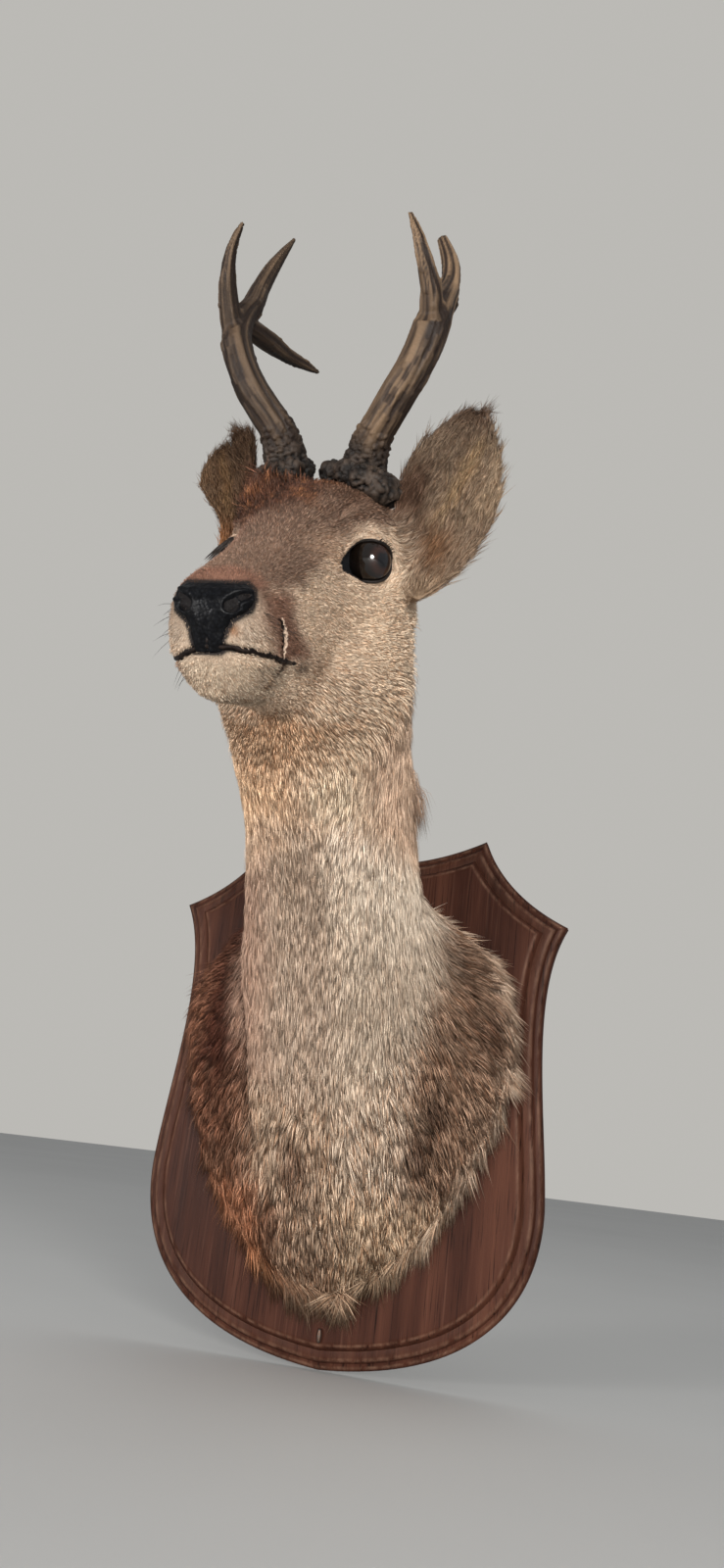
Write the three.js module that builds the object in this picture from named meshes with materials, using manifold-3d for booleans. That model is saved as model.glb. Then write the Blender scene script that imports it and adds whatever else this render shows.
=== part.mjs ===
// Roe deer shoulder mount on a shield board.
// Millimetres, +Z up, the back of the board on the wall plane y = 0, the deer facing -Y.
import * as THREE from "three";
import { ParametricGeometry } from "three/addons/geometries/ParametricGeometry.js";
import { mergeVertices } from "three/addons/utils/BufferGeometryUtils.js";
import Module from "manifold-3d";

const wasm = await Module();
wasm.setup();

// ---------- driving dimensions ----------

const GAP = 0.3; // clearance between neighbouring solids
const WELD = 0.001; // vertices closer than this are one

// The frame of the modelling tables has the board's bottom tip at its origin.
const BOARD_BACK = 8; // back face, behind the widest line of the edge
const HANG_HEIGHT = 170; // centre of the back face above the bottom tip

// Half outline of the shield, from the bottom tip up to the middle of the top edge.
const SHIELD = {
  bulge: [130.3, 106.4],
  corner: [135, 282.7],
  peak: [77, 339.1],
  topDip: 320,
  tipPull: [91.3, 6.4],
  bulgePull: [130.3, 47.6],
  waistPull: [[128.7, 158.8], [111.2, 238.2]],
  shoulderPull: [92.1, 302],
};
const SHIELD_STEPS = { side: 11, shoulder: 6, top: 4 };
// Moulded edge: how far in from the outline, and the height in front of the outline.
const MOULDING = [
  [0, -BOARD_BACK],
  [0, 0],
  [1.2, 1.2],
  [4.5, 2.2],
  [7, 5.2],
  [12, 5.4],
  [14, 8.6],
  [17, 10],
];
const BOARD_FRONT = 10;

// Staple in the board under the hem.
const STAPLE = { height: 20.5, x: 1.5, length: 8, width: 2 };

// Head frame: origin at the nose pad, x forward, y to the deer's left, z up.
const NOSE = new THREE.Vector3(0, -326, 345);
const HEAD_PITCH = THREE.MathUtils.degToRad(27);
const HEAD_ROLL = THREE.MathUtils.degToRad(-2.6);

// Head stations: x, half width, top, bottom, egg (wider above when positive), power.
const HEAD = [
  [2, 17, 12, -28, 0.05, 2.6],
  [-10, 23, 18, -37, 0.12, 2.5],
  [-25, 25, 23, -41, 0.14, 2.4],
  [-42, 27, 29, -44, 0.12, 2.3],
  [-58, 28.5, 36, -47, 0.12, 2.2],
  [-74, 29.5, 44, -51, 0.14, 2.2],
  [-90, 30.5, 53, -56, 0.18, 2.2],
  [-105, 33, 61, -61, 0.2, 2.2],
  [-120, 39.5, 67, -66, 0.2, 2.2],
  [-136, 47, 71, -70, 0.16, 2.2],
  [-152, 52, 74, -70, 0.12, 2.2],
  [-168, 54, 74, -66, 0.08, 2.1],
  [-184, 52, 66, -56, 0.05, 2],
  [-200, 46, 52, -40, 0.02, 2],
  [-216, 36, 34, -20, 0, 2],
];
const MUZZLE_ROUND = 12;
const OCCIPUT_ROUND = 34;
// Swellings and hollows of the head: x, y, z, radius, height.
const HEAD_FORMS = [
  [-132, 42, 46, 14, 3.5],
  [-138, 44, 30, 14, 2],
  [-118, 38, 4, 14, 2],
  [-107, 32, 27, 11, -2],
  [-163, 27, 70, 16, 6],
  [-147, 40, 63, 10, -1.5],
  [-132, 47, -24, 24, 3],
  [-60, 31, -12, 15, -1.5],
  [-16, 20, -14, 10, 2],
  [-14, 0, -38, 12, 2.5],
  [-120, 0, 70, 16, 2],
];
// Rough tuft in front of the right antler: x, y, z, radius, height.
const CROWN_TUFT = [-143, -37, 67, 15, 9];
const HEAD_GRID = { around: 28, rings: 22 };

// Neck and shoulder cape: nape y, z, throat y, z, half width, egg, power.
const NECK = [
  [-10.3, 288, -10.3, 40, 113, 0.3, 2.1],
  [-15, 290, -24, 50, 113, 0.28, 2.1],
  [-20, 293, -40, 64, 105, 0.24, 2.1],
  [-25, 298, -56, 84, 90, 0.18, 2.1],
  [-31, 305, -72, 110, 76, 0.12, 2.1],
  [-37, 313, -87, 140, 65, 0.06, 2.1],
  [-44, 324, -101, 172, 58, 0, 2.1],
  [-52, 336, -114, 204, 55, 0, 2.1],
  [-61, 350, -128, 236, 53, 0, 2.1],
  [-71, 366, -146, 268, 51, 0, 2.1],
  [-83, 384, -170, 297, 51, 0, 2.1],
  [-97, 405, -198, 320, 53, 0, 2.1],
  [-113, 428, -225, 338, 55, 0, 2.1],
  [-131, 448, -240, 362, 55, 0, 2.1],
  [-150, 462, -236, 392, 50, 0, 2],
  [-166, 468, -222, 425, 36, 0, 2],
];
const NECK_GRID = { around: 32, rings: 20 };
const NECK_SHIFT = -2; // the neck stands a little to the deer's right
// Lobes of the hem: turns round the outline, depth, phase.
const HEM_LOBES = [[9, 1.6, 0.4], [17, 1.1, 1.3]];

// Cutting planes: a point in the mid-plane and the tilt of the plane's normal from -Y up to +Z.
const THROAT_CUT = { y: -160, z: 400, tilt: THREE.MathUtils.degToRad(22) };
const CAPE_CUT = { y: -62, z: 230, tilt: THREE.MathUtils.degToRad(24) };

// Rhinarium rings: z, half width, front, back.
const PAD = [
  [-17.5, 7.5, 1.5, -8],
  [-13, 8.3, 2.6, -9],
  [-8, 9.3, 3.4, -10],
  [-3.5, 11.5, 3.8, -11],
  [1, 17.6, 3.6, -13],
  [5.5, 19, 2.4, -14],
  [10, 17.8, 0, -15],
  [12.5, 14.5, -4, -15],
];
const PAD_GRID = { around: 20, rings: 8 };
const NOSTRIL = { x: 3, y: 12.5, z: 3, radii: [5, 4.2, 3.2] };

// Glass eyes.
const EYE = { x: -130, y: 36.7, z: 29.8, radius: 11.9, around: 14, rings: 8 };
const LID = { forward: 2, out: 9.5, radii: [14.5, 8.5, 9.6] }; // opening round the eye

// Ear centre line with half widths and thickness: x, y, z, half width, thickness.
const EAR_LEFT = [
  [-145, 50, 15, 13.5, 14],
  [-154, 60, 30.5, 20.5, 10],
  [-165, 65, 47, 26, 7],
  [-177, 68, 66, 30, 5],
  [-190, 71, 86, 27, 4],
  [-203, 74, 103, 20, 3.5],
  [-213, 75, 115, 11, 3],
  [-220, 76, 123, 4, 2],
];
const EAR_RIGHT = [
  [-146, -46, 14, 9, 13],
  [-154, -50, 29, 11, 10],
  [-163, -52, 44, 12, 7],
  [-174, -56, 60, 15, 5],
  [-187, -64, 76, 21, 4.5],
  [-198, -72, 90, 26, 4],
  [-204, -77, 98, 22, 3.5],
  [-208, -79, 103, 13, 3],
];
const EAR_GRID = { around: 18, rings: 11 };
const EAR_CUP = [14, 7]; // depth of the hollow at the base and at the tip
const EAR_FACE = new THREE.Vector3(0.79, 0.24, 0.57); // open side of the deer's left ear
const EAR_TURN = { left: 0.15, right: 0.3 };

// Antler lines: x, y, z, radius.
const ANTLER_LEFT = {
  burr: [-164, 25, 76, 18.5, 0.42],
  beam: [
    [-164, 21, 74, 12],
    [-161, 25, 90, 11],
    [-157, 31, 102, 9.8],
    [-152, 43, 119, 9.8],
    [-152, 54, 138, 9.7],
    [-157, 60, 158, 9.6],
    [-166, 62, 170, 7.4],
    [-180, 64, 184, 5.5],
    [-190, 62, 197, 5],
    [-197, 58, 207, 4],
    [-202, 54, 215, 3],
  ],
  fork: 0.56,
  frontTine: [
    [-157, 59, 156, 6.5],
    [-151, 60, 172, 5.7],
    [-146, 57, 187, 4.2],
    [-145, 53, 200, 2.7],
    [-147, 48, 211.5, 0.8],
  ],
  rearTine: [
    [-178, 63, 180, 4.5],
    [-192, 62, 180, 4.6],
    [-207, 57, 178, 3.7],
    [-220, 51, 176, 2.6],
    [-231, 46, 175, 0.8],
  ],
};
const ANTLER_RIGHT = {
  burr: [-164, -25, 79, 17, -0.3],
  beam: [
    [-164, -21, 75, 12],
    [-161, -24, 91, 11],
    [-157, -27, 103, 9.8],
    [-152, -39, 121, 9.2],
    [-151, -47, 137, 8.6],
    [-154, -52, 153, 8.4],
    [-163, -52, 166, 7.2],
    [-174, -50, 176, 6.2],
    [-185, -50, 188, 5.2],
    [-200, -46, 207, 3.7],
    [-214, -40, 224, 0.8],
  ],
  fork: 0.52,
  frontTine: [
    [-156, -54, 154, 6.5],
    [-151, -55.5, 171, 5.2],
    [-147, -55, 186, 4.1],
    [-146, -52, 200, 2.5],
    [-148, -47, 212, 0.8],
  ],
  rearTine: [
    [-168, -51, 163, 5.5],
    [-185, -46, 159.5, 5.8],
    [-202, -41, 155.5, 4.4],
    [-216, -34, 152.5, 3],
    [-230, -28, 150, 0.8],
  ],
};
const TUBE_GRID = { around: 10, beam: 20, tine: 8 };
const BURR = { height: 7.5, lumps: 7, lump: 1.4, around: 18, rings: 7 };
const BURR_KNOB = { centre: [-165, 3.5, 81], radii: [5, 6.5, 6] };

// ---------- materials ----------

const LOOKS = {
  oak: { color: 0x4a2c1e, roughness: 0.45, metalness: 0 },
  coat: { color: 0xb79e7f, roughness: 0.95, metalness: 0 },
  coat_dark: { color: 0x6d5440, roughness: 0.95, metalness: 0 },
  nose: { color: 0x16161a, roughness: 0.35, metalness: 0 },
  eye: { color: 0x1a0f0a, roughness: 0.05, metalness: 0 },
  antler: { color: 0x75604a, roughness: 0.6, metalness: 0 },
  staple: { color: 0x2b2622, roughness: 0.4, metalness: 0.8 },
};

// ---------- solids ----------

const group = new THREE.Group();

function manifoldOf(positions, triangles) {
  const mesh = new wasm.Mesh({
    numProp: 3,
    vertProperties: positions,
    triVerts: new Uint32Array(triangles),
  });
  return new wasm.Manifold(mesh);
}

// Welds a geometry into one closed solid facing out.
function solidFrom(geometry) {
  geometry.deleteAttribute("normal");
  geometry.deleteAttribute("uv");
  const merged = mergeVertices(geometry, WELD);
  const index = merged.index.array;
  const kept = [];
  for (let i = 0; i < index.length; i += 3) {
    const [a, b, c] = [index[i], index[i + 1], index[i + 2]];
    if (a !== b && b !== c && c !== a) kept.push(a, b, c);
  }
  const positions = merged.attributes.position.array;
  const solid = manifoldOf(positions, kept);
  return solid.volume() > 0 ? solid : manifoldOf(positions, kept.reverse());
}

// Rings of points closed at both ends: point(s, angle, target) gives a ring at s from 0 to 1.
function loft(point, around, rings) {
  const last = rings + 1;
  const sample = new THREE.Vector3();
  const middle = (s, target) => {
    target.set(0, 0, 0);
    for (let k = 0; k < around; k++) {
      point(s, (2 * Math.PI * k) / around, sample);
      target.addScaledVector(sample, 1 / around);
    }
  };
  const surface = (u, v, target) => {
    const step = Math.round(v * last);
    if (step === 0 || step === last) middle(step === 0 ? 0 : 1, target);
    else point((step - 1) / (rings - 1), 2 * Math.PI * (u % 1), target);
  };
  return solidFrom(new ParametricGeometry(surface, around, last));
}

// Smooth values down the columns of a table, for s from 0 to 1.
function track(rows) {
  const stops = rows.map((row, i) => i / (rows.length - 1));
  const curve = new THREE.CubicInterpolant(stops, rows.flat(), rows[0].length);
  return (s) => [...curve.evaluate(s)];
}

const signedPower = (value, power) => Math.sign(value) * Math.abs(value) ** power;

// A unit superellipse, wider towards its top when egg is positive.
function eggRing(angle, egg, power) {
  const rise = signedPower(Math.cos(angle), 2 / power);
  const side = signedPower(Math.sin(angle), 2 / power);
  return [side * (1 + egg * rise), rise];
}

const headAxes = (() => {
  const forward = new THREE.Vector3(0, -Math.cos(HEAD_PITCH), -Math.sin(HEAD_PITCH));
  const level = new THREE.Vector3(1, 0, 0);
  const lift = new THREE.Vector3().crossVectors(forward, level);
  const left = level.multiplyScalar(Math.cos(HEAD_ROLL)).addScaledVector(lift, Math.sin(HEAD_ROLL));
  const up = new THREE.Vector3().crossVectors(forward, left);
  return new THREE.Matrix4().makeBasis(forward, left, up).setPosition(NOSE);
})();

const fromHead = (target) => target.applyMatrix4(headAxes);

// ---------- board ----------

const flat = ([x, y]) => new THREE.Vector2(x, y);
const mirrored = (points) => points.map((p) => new THREE.Vector2(-p.x, p.y)).reverse();

// The shield's edges between its corners, anticlockwise from the bottom tip.
function shieldEdges() {
  const { bulge, corner, peak, tipPull, bulgePull, waistPull, shoulderPull, topDip } = SHIELD;
  const { side, shoulder, top } = SHIELD_STEPS;
  const tip = new THREE.Vector2(0, 0);
  const lower = new THREE.CubicBezierCurve(tip, flat(tipPull), flat(bulgePull), flat(bulge));
  const upper = new THREE.CubicBezierCurve(flat(bulge), ...waistPull.map(flat), flat(corner));
  const arc = new THREE.QuadraticBezierCurve(flat(corner), flat(shoulderPull), flat(peak));
  const dip = new THREE.Vector2(0, 2 * topDip - peak[1]);
  const ridge = new THREE.QuadraticBezierCurve(flat(peak), dip, new THREE.Vector2(-peak[0], peak[1]));
  const right = [...lower.getPoints(side), ...upper.getPoints(side).slice(1)];
  const arcRight = arc.getPoints(shoulder);
  return [right, arcRight, ridge.getPoints(2 * top), mirrored(arcRight), mirrored(right)];
}

// One edge moved inwards by an inset, as an open line.
function offsetEdge(points, inset) {
  return points.map((p, i) => {
    const before = points[Math.max(i - 1, 0)];
    const after = points[Math.min(i + 1, points.length - 1)];
    const along = new THREE.Vector2().subVectors(after, before).normalize();
    return new THREE.Vector2(p.x - along.y * inset, p.y + along.x * inset);
  });
}

// Where two lines cross, as positions along each, or their facing ends if they don't.
function crossing(first, second) {
  for (let i = first.length - 2; i >= 0; i--) {
    for (let j = 0; j < second.length - 1; j++) {
      const a = new THREE.Vector2().subVectors(first[i + 1], first[i]);
      const b = new THREE.Vector2().subVectors(second[j + 1], second[j]);
      const between = new THREE.Vector2().subVectors(second[j], first[i]);
      const turn = a.cross(b);
      const s = between.cross(b) / turn;
      const t = between.cross(a) / turn;
      if (s >= 0 && s <= 1 && t >= 0 && t <= 1) return [i + s, j + t];
    }
  }
  return [first.length - 1, 0];
}

function pointOn(points, position) {
  const i = Math.min(Math.floor(position), points.length - 2);
  return new THREE.Vector2().lerpVectors(points[i], points[i + 1], position - i);
}

// The whole outline moved inwards, with mitred corners and a fixed count of points.
function shieldRing(edges, inset) {
  const moved = edges.map((edge) => offsetEdge(edge, inset));
  const joints = moved.map((edge, i) => crossing(edge, moved[(i + 1) % moved.length]));
  return moved.flatMap((edge, i) => {
    const start = joints[(i + moved.length - 1) % moved.length][1];
    const end = joints[i][0];
    const count = edge.length - 1;
    return edge.slice(1).map((p, k) => pointOn(edge, start + ((end - start) * k) / count));
  });
}

function buildBoard() {
  const edges = shieldEdges();
  const rings = MOULDING.map(([inset]) => shieldRing(edges, inset));
  const point = (s, angle, target) => {
    const row = Math.round(s * (MOULDING.length - 1));
    const ring = rings[row];
    const place = ring[Math.round((angle / (2 * Math.PI)) * ring.length) % ring.length];
    target.set(place.x, -MOULDING[row][1], place.y);
  };
  return loft(point, rings[0].length, MOULDING.length);
}

function buildStaple() {
  const { height, x, length, width } = STAPLE;
  const bar = new THREE.CapsuleGeometry(width / 2, length - width, 2, 8);
  bar.rotateX(Math.PI / 2).translate(x, -BOARD_FRONT - GAP - width / 2, height);
  return solidFrom(bar);
}

// ---------- flesh ----------

const headAt = track(HEAD);

function headSection(s, angle, target, grow) {
  const front = HEAD[0][0];
  const rear = HEAD.at(-1)[0];
  const x = THREE.MathUtils.lerp(front, rear, (1 - Math.cos(Math.PI * s)) / 2);
  const along = THREE.MathUtils.clamp(stationOf(x), 0, 1);
  const [, width, top, bottom, egg, power] = headAt(along);
  const fore = THREE.MathUtils.clamp((x - front + MUZZLE_ROUND) / MUZZLE_ROUND, 0, 1);
  const aft = THREE.MathUtils.clamp((rear + OCCIPUT_ROUND - x) / OCCIPUT_ROUND, 0, 1);
  const round = Math.sqrt(Math.max(1 - fore ** 3, 0)) * Math.sqrt(Math.max(1 - aft ** 2, 0));
  const [side, rise] = eggRing(angle, egg, power);
  const middle = (top + bottom) / 2;
  const tall = ((top - bottom) / 2) * round + grow;
  target.set(x + (s === 0 ? grow : 0), side * (width * round + grow), middle + rise * tall);
}

// Position down the head table of a distance behind the nose.
function stationOf(x) {
  let i = 0;
  while (i < HEAD.length - 2 && HEAD[i + 1][0] > x) i++;
  return (i + (HEAD[i][0] - x) / (HEAD[i][0] - HEAD[i + 1][0])) / (HEAD.length - 1);
}

// Pushes a point of the head out or in by the forms near it.
function swell(target) {
  const middle = new THREE.Vector3(target.x, 0, 0);
  const out = new THREE.Vector3().subVectors(target, middle).normalize();
  let push = 0;
  for (const [x, y, z, radius, height] of HEAD_FORMS) {
    const near = new THREE.Vector3(x, y * Math.sign(target.y || 1), z).distanceTo(target);
    push += height * Math.exp(-((near / radius) ** 2));
  }
  const [x, y, z, radius, height] = CROWN_TUFT;
  const near = new THREE.Vector3(x, y, z).distanceTo(target);
  push += height * Math.exp(-((near / radius) ** 2));
  target.addScaledVector(out, push);
}

function buildHead(grow) {
  const point = (s, angle, target) => {
    headSection(s, angle, target, grow);
    swell(target);
    fromHead(target);
  };
  return loft(point, HEAD_GRID.around, HEAD_GRID.rings);
}

const neckAt = track(NECK);

function buildNeck(grow) {
  const point = (s, angle, target) => {
    const [napeY, napeZ, throatY, throatZ, width, egg, power] = neckAt(s);
    const [side, rise] = eggRing(angle, egg, power);
    const hem = HEM_LOBES.reduce((sum, [n, d, p]) => sum + d * Math.sin(n * angle + p), 0);
    const fade = Math.max(1 - 5 * s, 0);
    const half = Math.hypot(napeY - throatY, napeZ - throatZ) / 2;
    const spread = 1 + (hem * fade + grow) / half;
    const up = (1 + rise * spread) / 2;
    const y = THREE.MathUtils.lerp(throatY, napeY, up);
    const z = THREE.MathUtils.lerp(throatZ, napeZ, up);
    target.set((side * width * spread) / (1 + egg * egg) + NECK_SHIFT, Math.min(y, NECK[0][0]), z);
  };
  return loft(point, NECK_GRID.around, NECK_GRID.rings);
}

// The half of space in front of a tilted plane, as normal and offset for a trim.
function cutAt({ y, z, tilt }, side, gap) {
  const normal = [0, -Math.cos(tilt) * side, Math.sin(tilt) * side];
  const offset = normal[1] * y + normal[2] * z + gap / 2;
  return [normal, offset];
}

// ---------- nose, eyes and ears ----------

const padAt = track(PAD);

function buildPad(grow) {
  const point = (s, angle, target) => {
    const [z, width, front, back] = padAt(s);
    const middle = (front + back) / 2;
    const deep = (front - back) / 2 + grow;
    const x = middle + deep * signedPower(Math.cos(angle), 0.85);
    const end = s === 0 ? -grow : s === 1 ? grow : 0;
    target.set(x, (width + grow) * signedPower(Math.sin(angle), 0.85), z + end);
    fromHead(target);
  };
  return loft(point, PAD_GRID.around, PAD_GRID.rings);
}

// An ellipsoid in the head frame.
function bead(centre, radii, around, rings) {
  const ball = new THREE.SphereGeometry(1, around, rings);
  ball.scale(...radii).translate(...centre).applyMatrix4(headAxes);
  return solidFrom(ball);
}

function buildEye(side, grow) {
  const radius = EYE.radius + grow;
  return bead([EYE.x, EYE.y * side, EYE.z], [radius, radius, radius], EYE.around, EYE.rings);
}

// The opening between the lids.
function buildOpening(side) {
  const centre = [EYE.x + LID.forward, (EYE.y + LID.out) * side, EYE.z + 1];
  return bead(centre, LID.radii, EYE.around, EYE.rings);
}

function buildEar(rows, side, turn) {
  const at = track(rows);
  const place = (s) => new THREE.Vector3(...at(s));
  const face = EAR_FACE.clone().setY(EAR_FACE.y * side).normalize();
  const point = (s, angle, target) => {
    const [x, y, z, width, thick] = at(s);
    const axis = place(Math.min(s + 0.02, 1)).sub(place(Math.max(s - 0.02, 0))).normalize();
    const open = face.clone().applyAxisAngle(axis, turn * side);
    open.addScaledVector(axis, -open.dot(axis)).normalize();
    const across = new THREE.Vector3().crossVectors(axis, open);
    const reach = Math.sin(angle);
    const hollow = THREE.MathUtils.lerp(EAR_CUP[0], EAR_CUP[1], s) * (reach ** 2 - 0.5);
    const skin = (thick / 2) * Math.cos(angle);
    target.set(x, y, z).addScaledVector(across, width * reach).addScaledVector(open, hollow + skin);
    fromHead(target);
  };
  return loft(point, EAR_GRID.around, EAR_GRID.rings);
}

// ---------- antlers ----------

function tube(rows, grow, rings) {
  const at = track(rows);
  const line = new THREE.CatmullRomCurve3(rows.map(([x, y, z]) => new THREE.Vector3(x, y, z)));
  const reference = new THREE.Vector3(1, 0, 0);
  const point = (s, angle, target) => {
    const axis = line.getTangent(s);
    const first = new THREE.Vector3().crossVectors(axis, reference).normalize();
    const second = new THREE.Vector3().crossVectors(axis, first);
    const radius = at(s)[3] + grow;
    line.getPoint(s, target);
    target.addScaledVector(first, radius * Math.cos(angle));
    target.addScaledVector(second, radius * Math.sin(angle));
    fromHead(target);
  };
  return loft(point, TUBE_GRID.around, rings);
}

function buildBurr([x, y, z, radius, tilt], grow) {
  const root = new THREE.Vector3(x, y, z);
  const turn = new THREE.Quaternion().setFromAxisAngle(new THREE.Vector3(-1, 0, 0), tilt);
  const point = (s, angle, target) => {
    const polar = Math.PI * (0.04 + 0.92 * s);
    const lump = BURR.lump * Math.sin(BURR.lumps * angle + 5 * s) * Math.sin(polar);
    const reach = radius * Math.sin(polar) ** 0.7 + lump + grow;
    const height = (BURR.height + grow) * signedPower(Math.cos(polar), 0.8);
    target.set(reach * Math.cos(angle), reach * Math.sin(angle), height);
    target.applyQuaternion(turn).add(root);
    fromHead(target);
  };
  return loft(point, BURR.around, BURR.rings);
}

// Splits a beam across its line at the fork.
function splitBeam(rows, position, solid) {
  const line = new THREE.CatmullRomCurve3(rows.map(([x, y, z]) => new THREE.Vector3(x, y, z)));
  const place = fromHead(line.getPoint(position));
  const axis = line.getTangent(position).transformDirection(headAxes);
  const offset = axis.dot(place);
  const upper = solid.trimByPlane(axis.toArray(), offset + GAP / 2);
  const lower = solid.trimByPlane(axis.clone().negate().toArray(), -offset + GAP / 2);
  return [lower, upper];
}

function buildAntler(side, spec, grownBurr) {
  const { beam, fork, frontTine, rearTine } = spec;
  const whole = tube(beam, 0, TUBE_GRID.beam);
  const around = tube(beam, GAP, TUBE_GRID.beam);
  const [lower, upper] = splitBeam(beam, fork, whole);
  addNode(`antler_${side}_beam`, lower.subtract(grownBurr), "antler");
  addNode(`antler_${side}_top`, upper, "antler");
  const front = tube(frontTine, 0, TUBE_GRID.tine).subtract(around);
  addNode(`antler_${side}_front_tine`, front, "antler");
  addNode(`antler_${side}_rear_tine`, tube(rearTine, 0, TUBE_GRID.tine).subtract(around), "antler");
}

// ---------- nodes ----------

function largestBody(solid) {
  return solid.decompose().sort((a, b) => b.volume() - a.volume())[0];
}

function addNode(name, solid, look) {
  const { vertProperties, triVerts } = largestBody(solid).getMesh();
  const geometry = new THREE.BufferGeometry();
  geometry.setAttribute("position", new THREE.BufferAttribute(vertProperties, 3));
  geometry.setIndex(new THREE.BufferAttribute(triVerts, 1));
  geometry.translate(0, -BOARD_BACK, -HANG_HEIGHT);
  geometry.computeVertexNormals();
  const mesh = new THREE.Mesh(geometry, new THREE.MeshStandardMaterial(LOOKS[look]));
  mesh.name = name;
  group.add(mesh);
}

const flesh = buildHead(0).add(buildNeck(0));
const grownFlesh = buildHead(GAP).add(buildNeck(GAP));
const knob = bead(BURR_KNOB.centre, BURR_KNOB.radii, 8, 6);
const knobGrown = bead(BURR_KNOB.centre, BURR_KNOB.radii.map((r) => r + GAP), 8, 6);
const burrLeft = buildBurr(ANTLER_LEFT.burr, 0).add(knob);
const burrRight = buildBurr(ANTLER_RIGHT.burr, 0);
const burrLeftGrown = buildBurr(ANTLER_LEFT.burr, GAP).add(knobGrown);
const burrRightGrown = buildBurr(ANTLER_RIGHT.burr, GAP);

const head = flesh
  .trimByPlane(...cutAt(THROAT_CUT, 1, GAP))
  .subtract(buildEye(1, GAP))
  .subtract(buildEye(-1, GAP))
  .subtract(buildOpening(1))
  .subtract(buildOpening(-1))
  .subtract(buildPad(GAP))
  .subtract(burrLeftGrown)
  .subtract(burrRightGrown);
const body = flesh.trimByPlane(...cutAt(THROAT_CUT, -1, GAP));
const earLeft = buildEar(EAR_LEFT, 1, EAR_TURN.left);
const earRight = buildEar(EAR_RIGHT, -1, EAR_TURN.right);
const nostril = (side) => bead([NOSTRIL.x, NOSTRIL.y * side, NOSTRIL.z], NOSTRIL.radii, 8, 6);

addNode("board", buildBoard(), "oak");
addNode("staple", buildStaple(), "staple");
addNode("shoulder", body.trimByPlane(...cutAt(CAPE_CUT, -1, GAP)), "coat_dark");
addNode("neck", body.trimByPlane(...cutAt(CAPE_CUT, 1, GAP)), "coat");
addNode("head", head, "coat");
addNode("nose_pad", buildPad(0).subtract(nostril(1)).subtract(nostril(-1)), "nose");
addNode("eye_left", buildEye(1, 0), "eye");
addNode("eye_right", buildEye(-1, 0), "eye");
addNode("ear_left", earLeft.subtract(grownFlesh).subtract(burrLeftGrown), "coat");
addNode("ear_right", earRight.subtract(grownFlesh).subtract(burrRightGrown), "coat");
addNode("antler_left_burr", burrLeft, "antler");
addNode("antler_right_burr", burrRight, "antler");
buildAntler("left", ANTLER_LEFT, burrLeftGrown);
buildAntler("right", ANTLER_RIGHT, burrRightGrown);

export default group;
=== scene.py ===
import math

import bmesh
import bpy
import numpy as np
from mathutils import Matrix, Vector
from mathutils.bvhtree import BVHTree
from mathutils.kdtree import KDTree


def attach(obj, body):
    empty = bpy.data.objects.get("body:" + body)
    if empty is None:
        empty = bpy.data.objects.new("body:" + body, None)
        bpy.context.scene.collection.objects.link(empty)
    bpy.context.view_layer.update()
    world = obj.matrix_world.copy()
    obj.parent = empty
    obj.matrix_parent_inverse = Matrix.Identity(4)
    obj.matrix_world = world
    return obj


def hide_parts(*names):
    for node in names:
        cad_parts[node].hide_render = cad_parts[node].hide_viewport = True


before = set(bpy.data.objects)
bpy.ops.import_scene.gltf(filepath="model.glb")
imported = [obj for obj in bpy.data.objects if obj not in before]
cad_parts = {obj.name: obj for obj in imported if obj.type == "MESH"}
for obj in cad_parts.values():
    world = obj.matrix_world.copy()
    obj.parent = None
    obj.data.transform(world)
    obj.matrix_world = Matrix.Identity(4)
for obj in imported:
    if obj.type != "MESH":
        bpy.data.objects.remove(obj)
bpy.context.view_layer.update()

# ---------- frames and sizes ----------

MM = 0.001
FLESH = ("shoulder", "neck", "head", "ear_left", "ear_right")
BOARD_FACE = -0.018  # front of the board, metres
# Head frame in millimetres: x forward from the nose, y to the deer's left, z up.
HEAD_ORIGIN = np.array((0.0, -0.334, 0.175))
HEAD_AXES = np.array(
    (
        (0.0, -0.89100652, -0.4539905),
        (0.99897057, 0.02059437, -0.04041872),
        (0.04536299, -0.45352315, 0.8900893),
    )
)

RNG = np.random.default_rng(41)
NOISE_PRIMES = np.array((73856093, 19349663, 83492791))


def to_head(points):
    return (np.asarray(points) - HEAD_ORIGIN) @ HEAD_AXES.T / MM


def from_head(points):
    return HEAD_ORIGIN + (np.asarray(points, float) * MM) @ HEAD_AXES


def unit(vectors):
    size = np.linalg.norm(vectors, axis=-1, keepdims=True)
    return vectors / np.maximum(size, 1e-12)


def ramp(value, low, high):
    t = np.clip((value - low) / (high - low), 0, 1)
    return t * t * (3 - 2 * t)


def bell(value, width):
    return np.exp(-((value / width) ** 2))


def value_noise(points, size, seed):
    """Smooth noise from -1 to 1 at many points."""
    place = np.asarray(points) / size + seed * 17.31
    cell = np.floor(place).astype(np.int64)
    part = place - cell
    part = part * part * (3 - 2 * part)
    total = np.zeros(len(place))
    for corner in range(8):
        step = np.array((corner & 1, corner >> 1 & 1, corner >> 2 & 1))
        key = (cell + step) * NOISE_PRIMES
        mix = key[:, 0] ^ key[:, 1] ^ key[:, 2]
        mix = (mix ^ (mix >> 13)) * 1274126177
        value = ((mix ^ (mix >> 16)) & 0xFFFF) / 32767.5 - 1
        total += value * np.prod(np.where(step, part, 1 - part), axis=1)
    return total


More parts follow.
